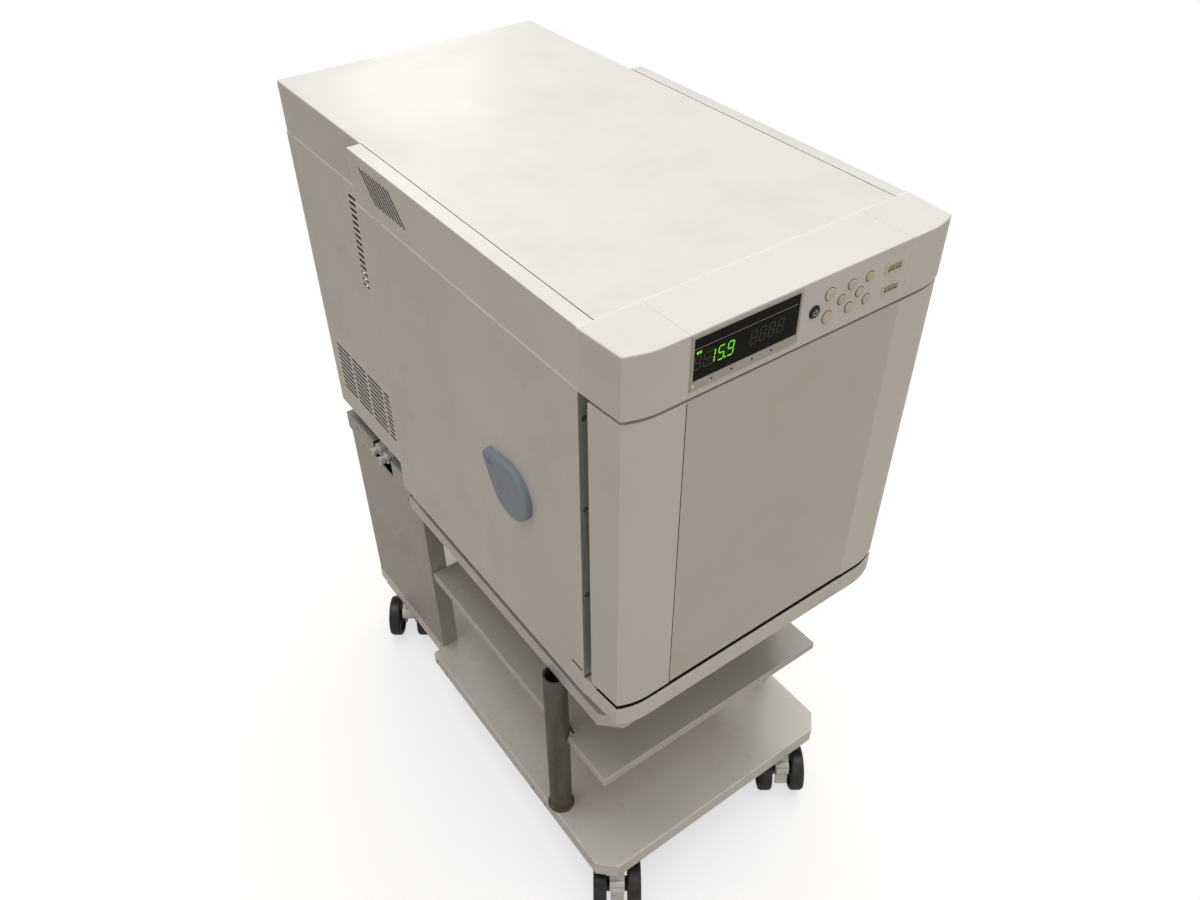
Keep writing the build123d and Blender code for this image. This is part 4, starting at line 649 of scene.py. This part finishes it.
green = glow("readout_green", linear(0.42, 0.85, 0.16), 0.75)
unlit = plastic("readout_unlit", linear(0.13, 0.15, 0.13), 0.35)
printed = plastic("printed_rule", linear(0.62, 0.62, 0.6), 0.5)
dot_black = plastic("printed_dot", linear(0.06, 0.06, 0.07), 0.4)
window_face = (0.0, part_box("display_window")[0].y, 0.0)
bezel_face = (0.0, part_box("display_bezel")[0].y, 0.0)
lit, dark = [], []
for x in LEFT_READOUT + RIGHT_READOUT:
    on = SEGMENTS[LIT_DIGITS.get(x, "")]
    for letter in "abcdefg":
        (lit if letter in on else dark).append(segment(letter, x, READOUT_FOOT))
lit.append(disc(POINT_RADIUS, *POINT_PLACE))
lit += [bar(left, RUN_FOOT, right, RUN_HEAD) for left, right in RUN_BARS]
rule = [bar(RULE_LEFT, RULE_FOOT, RULE_RIGHT, RULE_HEAD)]
dots = [disc(DOT_RADIUS, x, DOT_HEIGHT) for x in DOT_PLACES]
lamp_dot = [disc(LAMP_RADIUS, LAMP_PLACE, DOT_HEIGHT)]
piece("readout_lit", *plates(lit, window_face, LIT_RISE), green, ROOT)
piece("readout_unlit", *plates(dark, window_face, UNLIT_RISE), unlit, ROOT)
piece("window_rule", *plates(rule, window_face, RULE_RISE), printed, ROOT)
piece("status_dots", *plates(dots, bezel_face, DOT_RISE), dot_black, ROOT)
piece("status_lamp", *plates(lamp_dot, bezel_face, LAMP_RISE), green, ROOT)

# Power key symbol: a broken ring and a bar, moulded in white and let into the black cap, so that
# they go down with it.

KEY_PLACE = np.array([0.0122, 1.0163])
SYMBOL_RADIUS, SYMBOL_STROKE = 0.0027, 0.0007
RING_ENDS, RING_STEPS = (130, 410), 28
STEM_FOOT, STEM_HEAD = 0.0006, 0.0036
SYMBOL_RISE = (-0.0003, 0.00004)

white_print = plastic("symbol_white", linear(0.85, 0.85, 0.83), 0.4)
half_stroke = SYMBOL_STROKE / 2
sweep = np.radians(np.linspace(*RING_ENDS, RING_STEPS + 1))
outer = (SYMBOL_RADIUS + half_stroke) * np.stack([np.cos(sweep), np.sin(sweep)], axis=1)
inner = outer * (SYMBOL_RADIUS - half_stroke) / (SYMBOL_RADIUS + half_stroke)
symbol = [np.stack([inner[i], outer[i], outer[i + 1], inner[i + 1]]) + KEY_PLACE
          for i in range(RING_STEPS)]
symbol.append(bar(-half_stroke, STEM_FOOT, half_stroke, STEM_HEAD) + KEY_PLACE)
key_face = (0.0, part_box("key_power")[0].y, 0.0)
piece("power_symbol", *plates(symbol, key_face, SYMBOL_RISE), white_print, "key_power")

# Numbers on the wheels: ten digits printed in black round each cream wheel, one of them at the
# window. They turn with their wheel.

DIAL_RADIUS = 0.0065
DIAL_PITCH = 0.0054
DIAL_NUMBERS = 10
NUMBER_HEIGHT = 0.0046
NUMBER_WIDTH = 0.0031
ONE_SHARE = 0.55
INK_DEPTH, INK_LIFT = 0.0001, 0.00003
SHOWN_NUMBERS = {"number_wheels_upper": (0, 8, 5, 0), "number_wheels_lower": (0, 4, 5, 0)}


def number_shapes():
    """Points (x, y, depth) and faces of the ten digits, each 1 wide and 1 high about 0."""
    shapes = []
    for number in range(DIAL_NUMBERS):
        curve = bpy.data.curves.new("number", "FONT")
        curve.body = str(number)
        curve.extrude = 0.5
        curve.offset = 0.012
        curve.resolution_u = 3
        holder = bpy.data.objects.new("number", curve)
        scene.collection.objects.link(holder)
        mesh = bpy.data.meshes.new_from_object(holder)
        points = np.empty(len(mesh.vertices) * 3)
        mesh.vertices.foreach_get("co", points)
        points = points.reshape(-1, 3)
        low, high = points.min(0), points.max(0)
        points = (points - (low + high) / 2) / (high - low)
        shapes.append((points, [list(face.vertices) for face in mesh.polygons]))
        bpy.data.objects.remove(holder)
        bpy.data.curves.remove(curve)
        bpy.data.meshes.remove(mesh)
    return shapes


number_ink = plastic("number_ink", linear(0.05, 0.05, 0.05), 0.5)
shapes = number_shapes()
for joint in frame["joints"]:
    if joint["child"] not in SHOWN_NUMBERS:
        continue
    middle = np.array(joint["pos_m"])
    points, faces, start = [], [], 0
    for wheel, shown in enumerate(SHOWN_NUMBERS[joint["child"]]):
        for number, (shape, shape_faces) in enumerate(shapes):
            turned = (number - shown) * 2 * np.pi / DIAL_NUMBERS
            turn = shape[:, 1] * NUMBER_HEIGHT / DIAL_RADIUS + turned
            reach = DIAL_RADIUS + INK_DEPTH * (shape[:, 2] + 0.5) + INK_LIFT
            width = NUMBER_WIDTH * (ONE_SHARE if number == 1 else 1.0)
            x = shape[:, 0] * width + (wheel - 1.5) * DIAL_PITCH
            curved = np.stack([x, -reach * np.cos(turn), reach * np.sin(turn)], axis=1)
            points.append(middle + curved)
            faces.extend([[start + corner for corner in face] for face in shape_faces])
            start += len(shape)
    piece(f"{joint['child']}_ink", np.concatenate(points), faces, number_ink, joint["child"])

# Screws: small cross-recess pan heads in bright zinc, driven into the front frame, the rear of
# the cabinet and the stand's flanges. Each head is a dome on a polar grid.

# Depths are measured from the cabinet's front plane, which lies MIDDLE_Y before the origin.
MIDDLE_Y = 0.320
SCREW_RINGS = np.array([0.0, 0.22, 0.4, 0.55, 0.75, 0.9, 1.0, 1.0])
SCREW_STEPS = 24
SCREW_TURN = 0.2
# Shares of the head's radius: the dome's rise and round, its rim, how far it is let into the
# sheet, and the cross's depth, half width and reach.
DOME_RISE, DOME_ROUND, RIM_RISE, LET_IN = 0.34, 1.02, 0.1, 0.05
CROSS_DEPTH, CROSS_HALF, CROSS_REACH = 0.22, 0.13, 0.6
SHEET_SCREW, FLANGE_SCREW, PLINTH_SCREW = 0.0035, 0.0028, 0.0026
FRAME_SCREW_X = min(0.2122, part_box("front_frame")[1].x - 0.0045)
FRAME_SCREW_HEIGHTS = (0.532, 0.691, 0.823, 0.945)
BASE_SCREW_HEIGHT = 0.108
BASE_SCREW_DEPTHS = (0.112, 0.147, 0.420, 0.452)
REAR_SCREW_X = 0.178
REAR_ROW_HEIGHTS = (0.548, 0.975)
REAR_SIDE_HEIGHTS = (0.65, 0.76, 0.87)
PLINTH_SCREW_DEPTH, PLINTH_SCREW_HEIGHT = 0.676, 0.484


def grid_faces(rows, columns, closed=False):
    """Four-sided faces between neighbours on a grid of rows, each a closed ring of that many
    columns. Where closed, the last row joins the first."""
    row, column = np.meshgrid(np.arange(rows if closed else rows - 1), np.arange(columns),
                              indexing="ij")
    below, after = (row + 1) % rows, (column + 1) % columns
    return np.stack([row * columns + column, below * columns + column, below * columns + after,
                     row * columns + after], axis=-1).reshape(-1, 4)


def screw_heads(places, normal, radius):
    """Points and faces of pan heads. Height above the sheet is a shallow dome, less the cross:
    it drops where the smaller of the two distances from the cross lines is under CROSS_HALF."""
    side = np.cross(normal, FACE_UP)
    other = np.cross(normal, side)
    turn = np.arange(SCREW_STEPS) * 2 * np.pi / SCREW_STEPS + SCREW_TURN
    u = np.outer(SCREW_RINGS, np.cos(turn))
    v = np.outer(SCREW_RINGS, np.sin(turn))
    dome = DOME_RISE * np.sqrt(np.clip(DOME_ROUND - SCREW_RINGS**2, 0.0, 1.0)) + RIM_RISE
    height = np.broadcast_to(dome[:, None], u.shape).copy()
    cross = (np.minimum(abs(u), abs(v)) < CROSS_HALF) & (np.hypot(u, v) < CROSS_REACH)
    height[cross] -= CROSS_DEPTH
    height[-1] = -LET_IN
    local = radius * np.stack([u, v, height], axis=-1).reshape(-1, 3)
    head = local @ np.array([side, other, normal])
    quads = grid_faces(len(SCREW_RINGS), SCREW_STEPS)
    last_ring = np.arange(len(head) - 1, len(head) - SCREW_STEPS - 1, -1)
    points, faces = [], []
    for index, spot in enumerate(places):
        points.append(np.asarray(spot, float) + head)
        faces.extend((quads + index * len(head)).tolist())
        faces.append((last_ring + index * len(head)).tolist())
    return np.concatenate(points), faces


screw_zinc = metal("screw_zinc", linear(0.66, 0.66, 0.64), grime=0.6, seed=12.0)
frame_face, rear_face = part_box("front_frame")[0].y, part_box("rear_panel")[1].y
base_side, plinth_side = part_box("base")[0].x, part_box("plinth")[0].x
frame_spots = [(x, frame_face, z) for x in (-FRAME_SCREW_X, FRAME_SCREW_X)
               for z in FRAME_SCREW_HEIGHTS]
base_spots = [(base_side, depth - MIDDLE_Y, BASE_SCREW_HEIGHT) for depth in BASE_SCREW_DEPTHS]
right_spots = [(-x, y, z) for x, y, z in base_spots]
rear_spots = [(x, rear_face, z) for x in (-REAR_SCREW_X, 0.0, REAR_SCREW_X)
              for z in REAR_ROW_HEIGHTS]
rear_spots += [(x, rear_face, z) for x in (-REAR_SCREW_X, REAR_SCREW_X)
               for z in REAR_SIDE_HEIGHTS]
plinth_spots = [(plinth_side, PLINTH_SCREW_DEPTH - MIDDLE_Y, PLINTH_SCREW_HEIGHT)]
for name, spots, normal, radius in (
    ("frame_screws", frame_spots, (0.0, -1.0, 0.0), SHEET_SCREW),
    ("base_screws", base_spots, (-1.0, 0.0, 0.0), FLANGE_SCREW),
    ("base_screws_right", right_spots, (1.0, 0.0, 0.0), FLANGE_SCREW),
    ("rear_screws", rear_spots, (0.0, 1.0, 0.0), SHEET_SCREW),
    ("plinth_screws", plinth_spots, (-1.0, 0.0, 0.0), PLINTH_SCREW),
):
    piece(name, *screw_heads(spots, normal, radius), screw_zinc, ROOT, True)

# Weld beads: a rippled fillet of weld where each pole meets the base, brown with rust. Each is a
# ring whose round section swells and shrinks along it, and it is flat where the base ends.

POLE_PLACE = (0.2042, 0.092 - MIDDLE_Y)
BASE_EDGE = 0.2216
BEAD_REACH = 0.0172
BEAD_RADIUS = 0.0016
BEAD_STEPS, BEAD_SIDES = 140, 10
RIPPLES = 34

turn = np.arange(BEAD_STEPS) * 2 * np.pi / BEAD_STEPS
section = np.arange(BEAD_SIDES) * 2 * np.pi / BEAD_SIDES
ripple = 1.0 + 0.16 * np.sin(RIPPLES * turn) + 0.12 * np.sin(5 * turn + 1.0)
reach = BEAD_REACH + np.outer(BEAD_RADIUS * ripple, np.cos(section))
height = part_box("base")[1].z + np.outer(BEAD_RADIUS * ripple, np.sin(section))
y = POLE_PLACE[1] + reach * np.sin(turn)[:, None]
ring_faces = grid_faces(BEAD_STEPS, BEAD_SIDES, closed=True)
beads, bead_faces = [], []
for index, side in enumerate((-1, 1)):
    x = np.clip(side * POLE_PLACE[0] + reach * np.cos(turn)[:, None], -BASE_EDGE, BASE_EDGE)
    beads.append(np.stack([x, y, height], axis=-1).reshape(-1, 3))
    bead_faces.extend((ring_faces + index * BEAD_STEPS * BEAD_SIDES).tolist())
rusty = enamel("weld_rust", linear(0.42, 0.38, 0.33), grime=1.0, roughness=0.7, seed=60.0)
piece("weld_beads", np.concatenate(beads), bead_faces, rusty, ROOT, True)

# Door seam, key rims and the black slot low on the left side: dark joints and painted shadow
# lines that are narrower than the part's own gaps.

SEAM_WIDTH = 0.0008
SEAM_BELOW, SEAM_ABOVE = 0.001, 0.0015
KEY_RIM = 0.0006
KEY_OVERLAP = 0.0011
KEY_STEPS = 32
SLOT_DEPTHS = (0.0025, 0.0245)
SLOT_FOOT, SLOT_HEAD = 0.5555, 0.5605
SLOT_BACK = (-0.2189, 0.0, 0.0)
TO_FRONT = np.array([0.0, -1.0, 0.0])
SEAM_RISE, KEY_RIM_RISE, SLOT_RISE = (-0.0002, 0.00008), (-0.0002, 0.0001), (0.0, 0.0008)

# Near black: dark joints, and painted shadow in the gap by the door panel, round the keys and in
# the side slot.
joint_and_shadow_black = plastic("joint_and_shadow_black", linear(0.06, 0.06, 0.06), 0.7, 0.3)
panel_low, panel_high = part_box("door_panel")
seam_face = (0.0, panel_low.y, 0.0)
seam = [bar(panel_low.x, panel_low.z + SEAM_BELOW, panel_low.x + SEAM_WIDTH,
            panel_high.z - SEAM_ABOVE)]
piece("panel_seam", *plates(seam, seam_face, SEAM_RISE), joint_and_shadow_black, "door")
head_face = (0.0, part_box("head_centre")[0].y, 0.0)
rims = []
for name in sorted(nodes):
    if not name.startswith("key_"):
        continue
    low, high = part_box(name)
    spot = np.array([(low.x + high.x) / 2, (low.z + high.z) / 2])
    inner = disc((high.x - low.x) / 2 - KEY_OVERLAP, 0.0, 0.0, KEY_STEPS)
    outer = inner * (1.0 + KEY_RIM / np.hypot(*inner[0]))
    rims += [np.stack([inner[i - 1], outer[i - 1], outer[i], inner[i]]) + spot
             for i in range(KEY_STEPS)]
piece("key_rims", *plates(rims, head_face, KEY_RIM_RISE), joint_and_shadow_black, ROOT)
slot = [bar(MIDDLE_Y - SLOT_DEPTHS[1], SLOT_FOOT, MIDDLE_Y - SLOT_DEPTHS[0], SLOT_HEAD)]
piece("side_slot_shade", *plates(slot, SLOT_BACK, SLOT_RISE, TO_FRONT), joint_and_shadow_black, ROOT)

# Folds: the lower edge of each top band is rolled from the painted sheet. A thin pale strip along
# each bend is a painted highlight, where the bend would catch the light.

FOLD_FOOT, FOLD_HEAD = 0.98325, 0.98385
FOLD_REAR, FOLD_FRONT = -0.1465, MIDDLE_Y - 0.001
FOLD_RISE = (-0.0002, 0.00015)

# Painted highlight: a pale enamel strip on each fold.
fold_highlight_paint = enamel("fold_highlight_paint", linear(0.93, 0.92, 0.89), grime=0.3, roughness=0.3, seed=70.0)
fold_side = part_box("top_rails")[1].x
left_fold_highlight = bar(FOLD_REAR, FOLD_FOOT, FOLD_FRONT, FOLD_HEAD)
right_fold_highlight = bar(-FOLD_FRONT, FOLD_FOOT, -FOLD_REAR, FOLD_HEAD)
for name, outline, x, across in (("fold_highlight_left", left_fold_highlight, -fold_side, TO_FRONT),
                                 ("fold_highlight_right", right_fold_highlight, fold_side, -TO_FRONT)):
    piece(name, *plates([outline], (x, 0.0, 0.0), FOLD_RISE, across), fold_highlight_paint, ROOT)

# Chin: the photograph shows an open tray rim under the door with a dark gap behind it and two
# black rubber pads. A dark sheet set in from the rim and the pads stand in for them.

CHIN_TOP = (0.0, 0.0, 0.546)
RIM = 0.0022
BOW_CENTRE = (0.175, 0.0192)
BOW_REACH = 0.090
BOW_TURN = np.radians(np.linspace(0.0, 26.9, 12))
CHIN_REAR = (0.2175, -0.022)
PAD_PLACES = (-0.196, -0.176)
PAD_HALF = 0.006
PAD_FRONT, PAD_REAR = -0.052, -0.040
TO_REAR = np.array([0.0, 1.0, 0.0])
SHADE_RISE, PAD_RISE = (-0.0002, 0.0003), (0.0002, 0.0040)

arc_x = BOW_CENTRE[0] + (BOW_REACH - RIM) * np.sin(BOW_TURN)
arc_y = BOW_CENTRE[1] - (BOW_REACH - RIM) * np.cos(BOW_TURN) - MIDDLE_Y
right_side = np.stack([arc_x, arc_y], axis=1)
left_side = np.stack([-arc_x, arc_y], axis=1)[::-1]
rear_edge = np.array([[side * CHIN_REAR[0], CHIN_REAR[1] - MIDDLE_Y] for side in (1, -1)])
shade_outline = np.concatenate([left_side, right_side, rear_edge])
# Painted shade: chin_shade is a near black sheet where the open tray lies dark in shade.
shade_black = plastic("chin_shade", linear(0.09, 0.09, 0.088), 0.7, 0.4)
pad_rubber = plastic("pad_rubber", linear(0.12, 0.12, 0.12), 0.6)
pads = [bar(x - PAD_HALF, PAD_FRONT - MIDDLE_Y, x + PAD_HALF, PAD_REAR - MIDDLE_Y)
        for x in PAD_PLACES]
piece("chin_shade", *plates([shade_outline], CHIN_TOP, SHADE_RISE, upward=TO_REAR), shade_black,
      ROOT)
piece("chin_pads", *plates(pads, CHIN_TOP, PAD_RISE, upward=TO_REAR), pad_rubber, ROOT)
